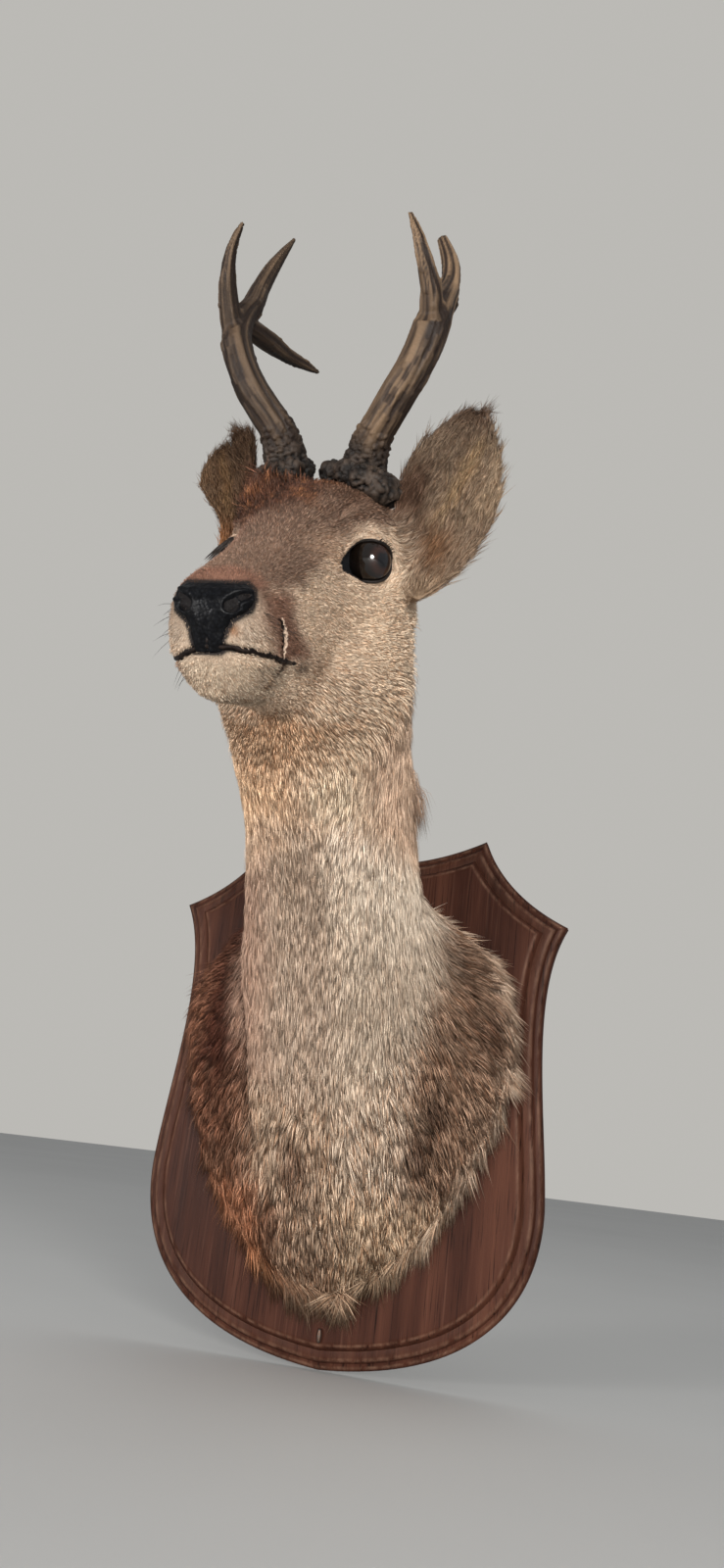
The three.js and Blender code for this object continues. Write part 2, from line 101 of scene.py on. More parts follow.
def spline(points, count):
    """Evenly spaced points on a smooth line through the given ones (columns may carry radii)."""
    pts = np.asarray(points, float)
    ends = np.vstack((2 * pts[0] - pts[1], pts, 2 * pts[-1] - pts[-2]))
    line = []
    for i in range(len(pts) - 1):
        a, b, c, d = ends[i : i + 4]
        for t in np.linspace(0, 1, 16, endpoint=i == len(pts) - 2):
            line.append(
                0.5
                * (
                    2 * b
                    + (c - a) * t
                    + (2 * a - 5 * b + 4 * c - d) * t * t
                    + (3 * b - a - 3 * c + d) * t**3
                )
            )
    line = np.array(line)
    run = np.r_[0, np.cumsum(np.linalg.norm(np.diff(line[:, :3], axis=0), axis=1))]
    at = np.linspace(0, run[-1], count)
    return np.stack([np.interp(at, run, column) for column in line.T], axis=1)


CHUNK = 20000  # points worked on at a time


def line_distance(points, line):
    """Distance to a polyline, how far along it (0 to 1) and the nearest place on it."""
    a, b = line[:-1], line[1:]
    ab = b - a
    length = np.maximum((ab**2).sum(1), 1e-12)
    seg = np.sqrt(length)
    start = np.r_[0, np.cumsum(seg)][:-1]
    dist, along, near = [], [], []
    for i in range(0, len(points), CHUNK):
        p = points[i : i + CHUNK, None, :]
        t = np.clip(((p - a) * ab).sum(2) / length, 0, 1)
        q = a + t[..., None] * ab
        d = np.linalg.norm(p - q, axis=2)
        k = d.argmin(1)
        row = np.arange(len(k))
        dist.append(d[row, k])
        along.append((start[k] + t[row, k] * seg[k]) / seg.sum())
        near.append(q[row, k])
    return np.concatenate(dist), np.concatenate(along), np.concatenate(near)


# ---------- mesh helpers ----------


def add_object(name, mesh):
    mesh.name = name
    piece = bpy.data.objects.new(name, mesh)
    bpy.context.scene.collection.objects.link(piece)
    return piece


def mesh_from(bm, name):
    mesh = bpy.data.meshes.new(name)
    bm.to_mesh(mesh)
    bm.free()
    return mesh


def get_points(mesh):
    co = np.empty(len(mesh.vertices) * 3)
    mesh.vertices.foreach_get("co", co)
    return co.reshape(-1, 3)


def set_points(mesh, points):
    mesh.vertices.foreach_set("co", np.ascontiguousarray(points, np.float32).ravel())
    mesh.update()


def get_normals(mesh):
    normals = np.empty(len(mesh.vertices) * 3)
    mesh.vertex_normals.foreach_get("vector", normals)
    return normals.reshape(-1, 3)


def get_edges(mesh):
    edges = np.empty(len(mesh.edges) * 2, np.int64)
    mesh.edges.foreach_get("vertices", edges)
    return edges.reshape(-1, 2)


class Web:
    """Neighbour sums over a mesh, for smoothing points and fields."""

    def __init__(self, mesh):
        self.count = len(mesh.vertices)
        self.edges = get_edges(mesh)
        self.degree = np.maximum(np.bincount(self.edges.ravel(), minlength=self.count), 1)

    def mean(self, values):
        a, b = self.edges.T
        out = np.empty_like(values)
        for k in range(values.shape[1]):
            total = np.bincount(a, values[b, k], self.count)
            total += np.bincount(b, values[a, k], self.count)
            out[:, k] = total / self.degree
        return out

    def relax(self, points, rounds, weight):
        """Smoothing in and out, which keeps the volume."""
        w = np.asarray(weight).reshape(-1, 1)
        for _ in range(rounds):
            for step in (0.5, -0.53):
                points = points + step * w * (self.mean(points) - points)
        return points


def applied(piece):
    """The mesh of a helper object after its modifiers; the helper goes."""
    graph = bpy.context.evaluated_depsgraph_get()
    made = bpy.data.meshes.new_from_object(piece.evaluated_get(graph))
    bpy.data.objects.remove(piece)
    return made


def voxel_remesh(mesh, size):
    piece = add_object("remesh_source", mesh)
    remesh = piece.modifiers.new("remesh", "REMESH")
    remesh.mode = "VOXEL"
    remesh.voxel_size = size
    return applied(piece)


def drop_crumbs(bm):
    """Deletes the small loose bodies that a remesh leaves."""
    seen = set()
    bodies = []
    for start in bm.verts:
        if start in seen:
            continue
        seen.add(start)
        body = [start]
        for vert in body:
            around = [edge.other_vert(vert) for edge in vert.link_edges]
            fresh = [other for other in around if other not in seen]
            seen.update(fresh)
            body.extend(fresh)
        bodies.append(body)
    largest = max(bodies, key=len)
    for body in bodies:
        if body is not largest:
            bmesh.ops.delete(bm, geom=body, context="VERTS")


def thin_out(mesh, body, ratio):
    """Fewer, larger triangles on the body."""
    piece = add_object("thin_source", mesh)
    group = piece.vertex_groups.new(name="body")
    group.add(np.flatnonzero(body).tolist(), 1.0, "REPLACE")
    fewer = piece.modifiers.new("fewer", "DECIMATE")
    fewer.ratio = ratio
    fewer.vertex_group = group.name
    return applied(piece)


def node_copy(name, swell):
    """A merged copy of a solid's mesh, swollen a little."""
    bm = bmesh.new()
    bm.from_mesh(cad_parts[name].data)
    bmesh.ops.remove_doubles(bm, verts=bm.verts, dist=1e-5)
    bm.normal_update()
    moves = [v.normal * swell for v in bm.verts]
    for v, move in zip(bm.verts, moves):
        v.co += move
    return bm


def joined(names, swell):
    whole = bmesh.new()
    for name in names:
        part = mesh_from(node_copy(name, swell), name + "_copy")
        whole.from_mesh(part)
        bpy.data.meshes.remove(part)
    return mesh_from(whole, "joined")


def refine(mesh, near):
    """Halves the edges of the faces where near(points) is true."""
    bm = bmesh.new()
    bm.from_mesh(mesh)
    centres = np.array([f.calc_center_median() for f in bm.faces])
    chosen = near(centres)
    bm.faces.ensure_lookup_table()
    edges = {e for i in np.flatnonzero(chosen) for e in bm.faces[i].edges}
    bmesh.ops.subdivide_edges(bm, edges=list(edges), cuts=1, use_grid_fill=True)
    made = mesh_from(bm, mesh.name)
    bpy.data.meshes.remove(mesh)
    return made


def paint(mesh, name, colours):
    """Stores a colour at each point; one that is too bright is dimmed, with its hue kept."""
    colours = np.maximum(colours, 0)
    colours = colours / np.maximum(colours.max(1, keepdims=True), 1)
    layer = mesh.color_attributes.new(name, "FLOAT_COLOR", "POINT")
    rgba = np.ones((len(colours), 4), np.float32)
    rgba[:, :3] = colours
    layer.data.foreach_set("color", rgba.ravel())


def solid_tree(name):
    """A solid's mesh as a tree for finding the nearest place on it."""
    bm = node_copy(name, 0)
    tree = BVHTree.FromBMesh(bm)
    bm.free()
    return tree


def distances(name, points):
    """How far each point is from a solid, in metres."""
    tree = solid_tree(name)
    return [tree.find_nearest(p)[3] for p in points.tolist()]


def nearest_seed(seeds, points):
    """The nearest seed of each point and its distance."""
    tree = KDTree(len(seeds))
    for k, seed in enumerate(seeds):
        tree.insert(seed, k)
    tree.balance()
    found = [tree.find(p) for p in points.tolist()]
    return np.array([f[1] for f in found]), np.array([f[2] for f in found])


def smooth_faces(mesh):
    mesh.polygons.foreach_set("use_smooth", [True] * len(mesh.polygons))


def finish_piece(piece, material, replaces=(), smooth=True):
    """Gives a piece its material, hangs it on the root body, and hides the solids that it replaces."""
    piece.data.materials.clear()
    piece.data.materials.append(material)
    if smooth:
        smooth_faces(piece.data)
    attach(piece, "root")
    if replaces:
        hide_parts(*replaces)


TUBE_TURNS = [2 * math.pi * k / 8 for k in range(8)]
HAIR_TURNS = (0, 2.094, 4.189)


def ring_of(bm, centre, radius, side, along, turns):
    """Vertices round a point of a line, at the given turns from its side."""
    lift = np.cross(along, side)
    return [bm.verts.new(centre + radius * (math.cos(a) * side + math.sin(a) * lift)) for a in turns]


def bridge(bm, rings, closed=False):
    """Faces between each ring of vertices and the next, and back to the first if closed."""
    loops = [[bm.edges.new((ring[k], ring[k - 1])) for k in range(len(ring))] for ring in rings]
    following = loops[1:] + loops[:1] if closed else loops[1:]
    for low, high in zip(loops, following):
        bmesh.ops.bridge_loops(bm, edges=low + high)


def outward(bm, name):
    """The finished mesh, with all its faces turned outwards."""
    bmesh.ops.recalc_face_normals(bm, faces=bm.faces)
    return mesh_from(bm, name)


def tube(name, line, radii):
    """A closed tube along a line, with a radius at each point."""
    bm = bmesh.new()
    rings = []
    ways = unit(np.gradient(line, axis=0))
    side = unit(np.cross(ways[0], (0.31, 0.77, 0.55)))
    for centre, radius, along in zip(line, radii, ways):
        side = unit(side - along * (side @ along))
        rings.append(ring_of(bm, centre, radius, side, along, TUBE_TURNS))
    bridge(bm, rings)
    for ring in (rings[0], rings[-1]):
        bm.faces.new(ring)
    return add_object(name, outward(bm, name))


def ring_tube(name, loop, radius):
    """A closed ring of round section along a loop of points."""
    ways = unit(np.roll(loop, -1, axis=0) - np.roll(loop, 1, axis=0))
    hub = loop.mean(0)
    bm = bmesh.new()
    rings = []
    for centre, along in zip(loop, ways):
        side = unit((centre - hub) - along * ((centre - hub) @ along))
        rings.append(ring_of(bm, centre, radius, side, along, TUBE_TURNS))
    bridge(bm, rings, closed=True)
    return add_object(name, outward(bm, name))


# ---------- materials ----------


class Finish:
    """A node material round one Principled shader."""

    def __init__(self, name, **values):
        self.material = bpy.data.materials.new(name)
        self.material.use_nodes = True
        self.tree = self.material.node_tree
        self.shader = self.tree.nodes["Principled BSDF"]
        for key, value in values.items():
            self.shader.inputs[key.replace("_", " ")].default_value = value

    def node(self, kind, **values):
        made = self.tree.nodes.new(kind)
        for key, value in values.items():
            if hasattr(made, key):
                setattr(made, key, value)
            else:
                made.inputs[key].default_value = value
        return made

    def link(self, out, into):
        self.tree.links.new(out, into)

    def feed(self, value, socket):
        """Links a node's output to the socket, or sets a constant value on it."""
        if isinstance(value, bpy.types.NodeSocket):
            self.link(value, socket)
        elif isinstance(value, tuple):
            socket.default_value = (*value, 1)
        else:
            socket.default_value = value

    def place(self, scale):
        """Object coordinates stretched by a scale on each axis."""
        coords = self.node("ShaderNodeTexCoord")
        mapping = self.node("ShaderNodeMapping")
        mapping.inputs["Scale"].default_value = scale
        self.link(coords.outputs["Object"], mapping.inputs["Vector"])
        return mapping.outputs["Vector"]

    def noise(self, scale, detail=4.0, rough=0.55, stretch=(1, 1, 1)):
        made = self.node("ShaderNodeTexNoise", Scale=scale, Detail=detail, Roughness=rough)
        self.link(self.place(stretch), made.inputs["Vector"])
        return made.outputs["Fac"]

    def cells(self, scale):
        made = self.node("ShaderNodeTexVoronoi", Scale=scale, feature="F1")
        self.link(self.place((1, 1, 1)), made.inputs["Vector"])
        return made.outputs["Distance"]

    def ramp(self, source, stops):
        made = self.node("ShaderNodeValToRGB")
        bar = made.color_ramp.elements
        while len(bar) < len(stops):
            bar.new(0.5)
        for element, (at, colour) in zip(bar, stops):
            element.position = at
            element.color = (*colour, 1)
        self.link(source, made.inputs["Fac"])
        return made.outputs["Color"]

    def grey(self, source, low, high, at_low=0.0, at_high=1.0):
        made = self.node("ShaderNodeMapRange")
        limits = {"From Min": low, "From Max": high, "To Min": at_low, "To Max": at_high}
        for key, value in limits.items():
            made.inputs[key].default_value = value
        self.link(source, made.inputs["Value"])
        return made.outputs["Result"]

    def attribute(self, name):
        return self.node("ShaderNodeAttribute", attribute_name=name)

    def mix(self, factor, first, second, kind="MIX"):
        made = self.node("ShaderNodeMix", data_type="RGBA", blend_type=kind)
        for value, socket in ((factor, 0), (first, 6), (second, 7)):
            self.feed(value, made.inputs[socket])
        return made.outputs[2]

    def maths(self, kind, first, second):
        made = self.node("ShaderNodeMath", operation=kind)
        self.feed(first, made.inputs[0])
        self.feed(second, made.inputs[1])
        return made.outputs[0]

    def colour(self, source):
        self.link(source, self.shader.inputs["Base Color"])

    def roughness(self, source):
        self.link(source, self.shader.inputs["Roughness"])

    def bump(self, source, depth, strength=1.0):
        made = self.node("ShaderNodeBump", Strength=strength, Distance=depth)
        self.link(source, made.inputs["Height"])
        self.link(made.outputs["Normal"], self.shader.inputs["Normal"])


def coat_finish(name, bump):
    look = Finish(name, Roughness=0.62, Specular_IOR_Level=0.12)
    tone = look.ramp(look.noise(900.0, 2.0), [(0.3, (0.86, 0.85, 0.84)), (0.7, (1.0, 1.0, 1.0))])
    colour = look.mix(1.0, look.attribute("coat_colour").outputs["Color"], tone, "MULTIPLY")
    look.colour(colour)
    if bump:
        look.bump(look.noise(1500.0, 3.0, 0.6, (1, 1, 0.4)), bump)
    return look.material


def oak_finish():
    look = Finish("dark_oak", Roughness=0.5, Specular_IOR_Level=0.06)
    grain = look.noise(60.0, 6.0, 0.62, (1, 0.6, 0.055))
    browns = ((0.3, (0.017, 0.0056, 0.0034)), (0.5, (0.037, 0.0128, 0.0076)), (0.72, (0.066, 0.0246, 0.0144)))
    wood = look.ramp(grain, browns)
    fine = look.noise(900.0, 3.0, 0.6, (1, 0.5, 0.022))
    streak = look.grey(fine, 0.56, 0.68)
    wood = look.mix(streak, wood, (0.008, 0.0027, 0.0016))
    pale = look.grey(look.noise(420.0, 2.0, 0.5, (1, 0.5, 0.03)), 0.6, 0.75, 0.0, 0.4)
    wood = look.mix(pale, wood, (0.098, 0.042, 0.027))
    # Pale ridges of the moulding: partly wear, partly a painted highlight along the edges.
    wear_and_sheen = look.attribute("wear_and_sheen").outputs["Fac"]
    broken = look.grey(look.noise(170.0, 5.0, 0.7, (1, 1, 0.35)), 0.38, 0.62)
    rubbed_and_sheen = look.maths("MULTIPLY", wear_and_sheen, broken)
    wood = look.mix(rubbed_and_sheen, wood, (0.19, 0.108, 0.072))
    look.colour(wood)
    look.roughness(look.grey(grain, 0.2, 0.8, 0.42, 0.6))
    look.bump(fine, 0.0004, 0.5)
    return look.material


def antler_finish():
    look = Finish("antler_bone", Roughness=0.55, Specular_IOR_Level=0.16)
    spots = look.ramp(look.noise(700.0, 4.0, 0.65), [(0.32, (0.78, 0.76, 0.74)), (0.68, (1.0, 1.0, 1.0))])
    look.colour(look.mix(1.0, look.attribute("bone_colour").outputs["Color"], spots, "MULTIPLY"))
    look.roughness(look.grey(look.noise(350.0), 0.3, 0.7, 0.45, 0.7))
    look.bump(look.noise(1100.0, 4.0, 0.6), 0.0004, 0.5)
    return look.material


def nose_finish():
    look = Finish("nose_leather", Roughness=0.36, Specular_IOR_Level=0.07)
    pebbles = look.cells(620.0)
    look.colour(look.ramp(pebbles, [(0.0, (0.0046, 0.0050, 0.0062)), (0.75, (0.002, 0.002, 0.0024))]))
    look.roughness(look.grey(look.noise(240.0), 0.35, 0.7, 0.28, 0.5))
    look.bump(look.grey(pebbles, 0.0, 0.8, 1.0, 0.0), 0.0004, 0.4)
    return look.material


def glass_finish():
    look = Finish("eye_glass", Roughness=0.09, Specular_IOR_Level=0.6)
    look.colour(look.attribute("iris_colour").outputs["Color"])
    return look.material


def hide_finish(name, dark, light, scale, depth, shine=0.4):
    look = Finish(name, Roughness=0.45, Specular_IOR_Level=shine)
    look.colour(look.ramp(look.noise(scale, 5.0, 0.65), [(0.35, dark), (0.68, light)]))
    look.bump(look.noise(scale * 2.2, 4.0), depth, 0.8)
    return look.material


def iron_finish():
    look = Finish("dull_iron", Metallic=0.9, Roughness=0.5)
    rust = look.ramp(look.noise(900.0, 5.0, 0.7), [(0.4, (0.06, 0.055, 0.05)), (0.65, (0.12, 0.06, 0.035))])
    look.colour(rust)
    look.bump(look.noise(2000.0), 0.0002, 0.5)
    return look.material


# ---------- board ----------

SHIELD = {
    "bulge": (130.3, 106.4),
    "corner": (135.0, 282.7),
    "peak": (77.0, 339.1),
    "dip": (0.0, 300.9),
    "tip_pull": (91.3, 6.4),
    "bulge_pull": (130.3, 47.6),
    "waist_pull": ((128.7, 158.8), (111.2, 238.2)),
    "shoulder_pull": (92.1, 302.0),
}
# Section of the moulded edge: how far in from the outline, and the height over the back.
MOULDING = (
    (0.0, 0.0), (0.0, 7.5), (0.35, 8.1), (1.2, 9.0), (2.0, 9.6), (3.4, 10.0), (4.3, 10.1),
    (4.6, 10.5), (5.2, 11.6), (6.0, 12.6), (7.0, 13.2), (8.2, 13.4), (11.0, 13.45),
    (11.5, 13.3), (11.9, 13.9), (12.6, 15.4), (13.6, 16.7), (14.8, 17.5), (16.2, 17.95), (17.2, 18.0),
)
BOARD_BOTTOM = -170.0
# Ridges painted pale, partly wear and partly a painted highlight along their edges: height over the back, breadth
# and strength.
WORN_AND_SHEEN_RIDGES = ((9.35, 0.3, 0.9), (12.9, 0.32, 0.9), (17.3, 0.3, 0.7))
SHARP_ANGLE = 32  # degrees


def bezier(points, count, last=False):
    t = np.linspace(0, 1, count, endpoint=last)[:, None]
    p = [np.array(q, float) for q in points]
    while len(p) > 1:
        p = [a * (1 - t) + b * t for a, b in zip(p, p[1:])]
    return p[0]


def shield_edges():
    """The shield's edges between its corners, anticlockwise from the bottom tip."""
    s = SHIELD
    right = np.vstack(
        (
            bezier(((0, 0), s["tip_pull"], s["bulge_pull"], s["bulge"]), 40),
            bezier((s["bulge"], *s["waist_pull"], s["corner"]), 41, True),
        )
    )
    arc = bezier((s["corner"], s["shoulder_pull"], s["peak"]), 25, True)
    top = bezier((s["peak"], s["dip"], (-s["peak"][0], s["peak"][1])), 41, True)
    return [right, arc, top, (arc * (-1, 1))[::-1], (right * (-1, 1))[::-1]]


def crossing(first, second):
    """Where two lines cross, as places along each, or their facing ends."""
    p, r = first[:-1, None], np.diff(first, axis=0)[:, None]
    q, s = second[None, :-1], np.diff(second, axis=0)[None]
    turn = r[..., 0] * s[..., 1] - r[..., 1] * s[..., 0]
    turn = np.where(np.abs(turn) < 1e-9, 1e-9, turn)
    gap = q - p
    t = (gap[..., 0] * s[..., 1] - gap[..., 1] * s[..., 0]) / turn
    u = (gap[..., 0] * r[..., 1] - gap[..., 1] * r[..., 0]) / turn
    met = np.argwhere((t >= 0) & (t <= 1) & (u >= 0) & (u <= 1))
    if not len(met):
        return len(first) - 1.0, 0.0
    i, j = max(met.tolist())
    return i + t[i, j], j + u[i, j]


def shield_ring(inset):
    """The outline moved inwards, with mitred corners and a fixed count of points."""
    moved = []
    for edge in shield_edges():
        way = unit(np.gradient(edge, axis=0))
        moved.append(edge + inset * np.stack((-way[:, 1], way[:, 0]), axis=1))
    joints = [crossing(edge, moved[(k + 1) % 5]) for k, edge in enumerate(moved)]
    ring = []
    for k, edge in enumerate(moved):
        at = np.linspace(joints[k - 1][1], joints[k][0], len(edge))[1:]
        steps = np.arange(len(edge))
        ring.append(np.stack([np.interp(at, steps, column) for column in edge.T], axis=1))
    return np.vstack(ring)


def build_board():
    bm = bmesh.new()
    rings = []
    for inset, height in MOULDING:
        places = [(x * MM, -height * MM, (z + BOARD_BOTTOM) * MM) for x, z in shield_ring(inset)]
        rings.append([bm.verts.new(place) for place in places])
    bridge(bm, rings)
    bm.faces.new(rings[0])
    bm.faces.new(rings[-1])
    mesh = outward(bm, "board_wood")
    height = -get_points(mesh)[:, 1] / MM
    # Pale ridges of the moulding, partly wear and partly a painted highlight.
    worn = np.zeros(len(height))
    for level, breadth, strength in WORN_AND_SHEEN_RIDGES:
        worn = np.maximum(worn, strength * bell(height - level, breadth))
    wear_and_sheen = mesh.attributes.new("wear_and_sheen", "FLOAT", "POINT")
    wear_and_sheen.data.foreach_set("value", worn.astype(np.float32))
    smooth_faces(mesh)
    mesh.set_sharp_from_angle(angle=math.radians(SHARP_ANGLE))
    finish_piece(add_object("board_wood", mesh), oak_finish(), ("board",), smooth=False)


# ---------- eyes ----------

EYE = np.array((-130.0, 36.7, 29.8))
EYE_RADIUS = 11.9
LID_RADIUS = 13.0
DUCT_LEVEL = 0.5
LID_POINTS = 96  # round the edge of the lids
# Opening of the lids round the eye's own axes: back and up, in millimetres.
OPENING = (
    (-25.2, -3.4), (-21.0, 1.5), (-15.6, 6.1), (-9.5, 9.6), (-4.5, 10.7), (0.0, 9.7),
    (4.7, 7.6), (9.0, 4.2), (11.3, 0.2), (9.8, -4.6), (5.0, -9.2), (-1.2, -11.2),
    (-6.5, -10.9), (-11.6, -9.3), (-17.4, -7.4), (-22.6, -5.7),
)
EYE_OUT = unit(np.array((0.45, 0.89, 0.05)))
EYE_BACK = unit(np.cross((0.0, 0.0, 1.0), EYE_OUT))
EYE_AXES = np.array((EYE_BACK, np.cross(EYE_OUT, EYE_BACK), EYE_OUT))


def opening_line(count=72):
    closed = spline(OPENING + OPENING[:1], count + 1)
    return closed[:-1]


def eye_local(head_points, side):
    return (head_points * (1, side, 1) - EYE) @ EYE_AXES.T


def eye_world(local, side):
    return from_head((local @ EYE_AXES + EYE) * (1, side, 1))


def rim_level(radius_squared, shell):
    return np.maximum(np.sqrt(np.maximum(shell**2 - radius_squared, 0)), DUCT_LEVEL)


def opening_distance(uv):
    """Signed distance to the lids' edge: negative inside the opening."""
    line = opening_line()
    loop = np.vstack((line, line[:1]))
    dist = line_distance(np.c_[uv, np.zeros(len(uv))], np.c_[loop, np.zeros(len(loop))])[0]
    x, y = uv.T
    inside = np.zeros(len(uv), bool)
    for (x0, y0), (x1, y1) in zip(loop, loop[1:]):
        crosses = (y0 > y) != (y1 > y)
        if y1 != y0:
            inside ^= crosses & (x < (x1 - x0) * (y - y0) / (y1 - y0) + x0)
    return np.where(inside, -dist, dist)


PUPIL = np.array((0.004, 0.004, 0.005))
IRIS = np.array((0.020, 0.0085, 0.006))
IRIS_RIM = np.array((0.006, 0.004, 0.003))


def build_eye(side, name, node):
    """A glass ball, made on the eye's own axes, with a long level pupil in a red-brown iris."""
    bm = bmesh.new()
    bmesh.ops.create_uvsphere(bm, u_segments=48, v_segments=32, radius=EYE_RADIUS * MM)
    mesh = mesh_from(bm, name)
    points = get_points(mesh) / MM
    back, up, _ = points.T
    pupil = np.hypot(np.maximum(np.abs(back + 0.5) - 2.2, 0) / 2.7, up / 3.8)
    iris = np.hypot(back / 9.6, up / 9.0)
    ring = bell(iris - 0.93, 0.1)
    colour = PUPIL + (IRIS - PUPIL) * ramp(pupil, 0.85, 1.25)[:, None]
    edge = np.clip(ramp(iris, 0.85, 1.1) + 0.5 * ring, 0, 1)[:, None]
    paint(mesh, "iris_colour", colour + (IRIS_RIM - colour) * edge)
    set_points(mesh, eye_world(points, side))
    if side < 0:
        mesh.flip_normals()
    finish_piece(add_object(name, mesh), LOOKS["glass"], (node,))


def build_lid_rim(side, name):
    line = opening_line(LID_POINTS)
    level = rim_level((line**2).sum(1), LID_RADIUS - 0.35)
    rim = ring_tube(name, eye_world(np.c_[line, level], side), 0.8 * MM)
    finish_piece(rim, LOOKS["lid"])


# ---------- the skin ----------

SKIN_VOXEL = 2.1 * MM
# Lines on the head: the mouth on its left and right side, and the split in the upper lip.
MOUTH = (
    (-3.0, -15.0, -20.5), (-1.0, -9.0, -18.0), (1.0, -2.0, -16.2), (1.0, 5.0, -15.6), (-1.0, 12.0, -16.2),
    (-6.0, 19.0, -17.5), (-16.0, 23.0, -19.2), (-30.0, 24.5, -21.6), (-46.0, 25.5, -23.6), (-58.0, 27.0, -25.0),
)
MOUTH_FAR = (
    (-3.0, -15.0, -20.5), (-10.0, -20.0, -21.5), (-24.0, -23.5, -22.0),
    (-42.0, -25.5, -23.6), (-58.0, -27.0, -25.0),
)
SPLIT = (
    (-23.0, 26.0, -2.0), (-27.0, 26.5, -7.0), (-29.5, 26.0, -12.0), (-31.0, 25.5, -17.0), (-31.5, 24.5, -21.0),
)
# Where the neck's right side folds over the cape, in the row frame.
CREASE = ((-58, -70, 62), (-54, -88, 40), (-50, -88, 12), (-48, -83, -8), (-44, -77, -27), (-39, -70, -48))
NECK_DEPTH, CAPE_DEPTH, EAR_DEPTH, PAD_DEPTH = 3.6, 4.6, 0.8, 1.4
THINNED = 0.70  # share of the triangles kept behind the head
# What is meshed finely: the muzzle in front of an x, and all within reach of the eyes and lines.
MUZZLE_X, EYE_AREA, LID_AREA, LINE_AREA = -64, 36, 29, 6


def eye_distance(head):
    gaps = [np.linalg.norm(head * (1, side, 1) - EYE, axis=1) for side in (1, -1)]
    return np.minimum(*gaps)


def near_muzzle(points):
    head = to_head(points)
    return (head[:, 0] > MUZZLE_X) | (eye_distance(head) < EYE_AREA)


def near_lines(points):
    head = to_head(points)
    lines = [line_distance(head, spline(line, 24))[0] for line in (MOUTH, MOUTH_FAR, SPLIT)]
    return (eye_distance(head) < LID_AREA) | (np.min(lines, axis=0) < LINE_AREA)


def node_weights(points):
    """How much each solid of flesh is the nearest, as soft weights, and the nose pad's distance."""
    reach = np.array([distances(name, points) for name in FLESH + ("nose_pad",)]).T / MM
    near = np.exp(-np.minimum(reach - reach.min(1, keepdims=True), 40) / 3.0)
    near = near / near.sum(1, keepdims=True)
    return near[:, : len(FLESH)], reach[:, -1]


def ears_of(weights):
    return weights[:, 3] + weights[:, 4]


def coat_depth(head, weights, pad_reach):
    """How far the skin lies under the coat's tips, in millimetres."""
    x, _, z = head.T
    face = 0.9 + 0.9 * ramp(-x, 20, 90) + 1.6 * ramp(-z, 30, 62) * ramp(-x, 40, 100)
    cape, neck, ears = (np.full(len(head), depth) for depth in (CAPE_DEPTH, NECK_DEPTH, EAR_DEPTH))
    depth = (weights * np.stack((cape, neck, face, ears, ears), axis=1)).sum(1)
    return np.where(pad_reach < 1.2, PAD_DEPTH, depth)


def shape_lids(head, side):
    """Lids drawn over the eye, with a fold above, and the opening behind the glass."""
    made = eye_local(head, side)
    back, up, out = made.T
    zone = (out > -7) & (back * back + up * up < 30**2)
    lids = made[zone]
    back, up, out = lids.T
    r2 = back * back + up * up
    edge = opening_distance(lids[:, :2])
    shell = np.sqrt(np.maximum(LID_RADIUS**2 - r2, 0))
    level = rim_level(r2, LID_RADIUS)
    close = np.exp(-np.maximum(edge, 0) / 3.2)
    outside = np.maximum(out, shell * (r2 < LID_RADIUS**2))
    outside = outside * (1 - close) + np.maximum(level, 0) * close
    fold = bell(edge - 4.6, 0.9) * ramp(up, 2, 7)
    band = bell(edge - 2.4, 1.5) * ramp(up, 1, 6)
    pouch = bell(edge - 4.4, 1.1) * ramp(-up, 3, 8)
    outside = outside - 1.1 * fold + 0.55 * band - 0.5 * pouch
    behind = (EYE_RADIUS - 1.3) ** 2 - r2
    floor = DUCT_LEVEL - 1.6 - 3.9 * ramp(back, -25, -16)
    inside = np.where(behind > 0, np.sqrt(np.maximum(behind, 0)), floor)
    part = ramp(edge, -0.5, 0.25)
    lids[:, 2] = inside * (1 - part) + outside * part
    made[zone] = lids
    return ((made @ EYE_AXES) + EYE) * (1, side, 1), zone, edge


def flesh_mesh():
    """The solids of the flesh as one smooth mesh, finest about the eyes and lips."""
    source = joined(FLESH + ("nose_pad", "eye_left", "eye_right"), 0.5 * MM)
    mesh = voxel_remesh(source, SKIN_VOXEL)
    points = get_points(mesh)
    ears = ears_of(node_weights(points)[0])
    set_points(mesh, Web(mesh).relax(points, 26, 1 - 0.75 * ramp(ears, 0.3, 0.9)))
    mesh = refine(refine(mesh, near_muzzle), near_lines)
    bm = bmesh.new()
    bm.from_mesh(mesh)
    drop_crumbs(bm)
    bmesh.ops.triangulate(bm, faces=bm.faces)
    bm.to_mesh(mesh)
    bm.free()
    points = get_points(mesh)
    plain = (to_head(points)[:, 0] < -100) & (ears_of(node_weights(points)[0]) < 0.02)
    mesh = thin_out(mesh, plain & ~near_muzzle(points), THINNED)
    points = get_points(mesh)
    points = Web(mesh).relax(points, 8, near_muzzle(points).astype(float))
    set_points(mesh, points)
    return mesh, points


def sunk(mesh, points, weights, pad_reach):
    """The skin's points, moved in by the depth of the coat."""
    web = Web(mesh)
    depth = coat_depth(to_head(points), weights, pad_reach)
    depth = web.mean(web.mean(depth[:, None]))[:, 0]
    points = points - get_normals(mesh) * (depth * MM)[:, None]
    return web.relax(points, 3, 1 - 0.8 * ears_of(weights))


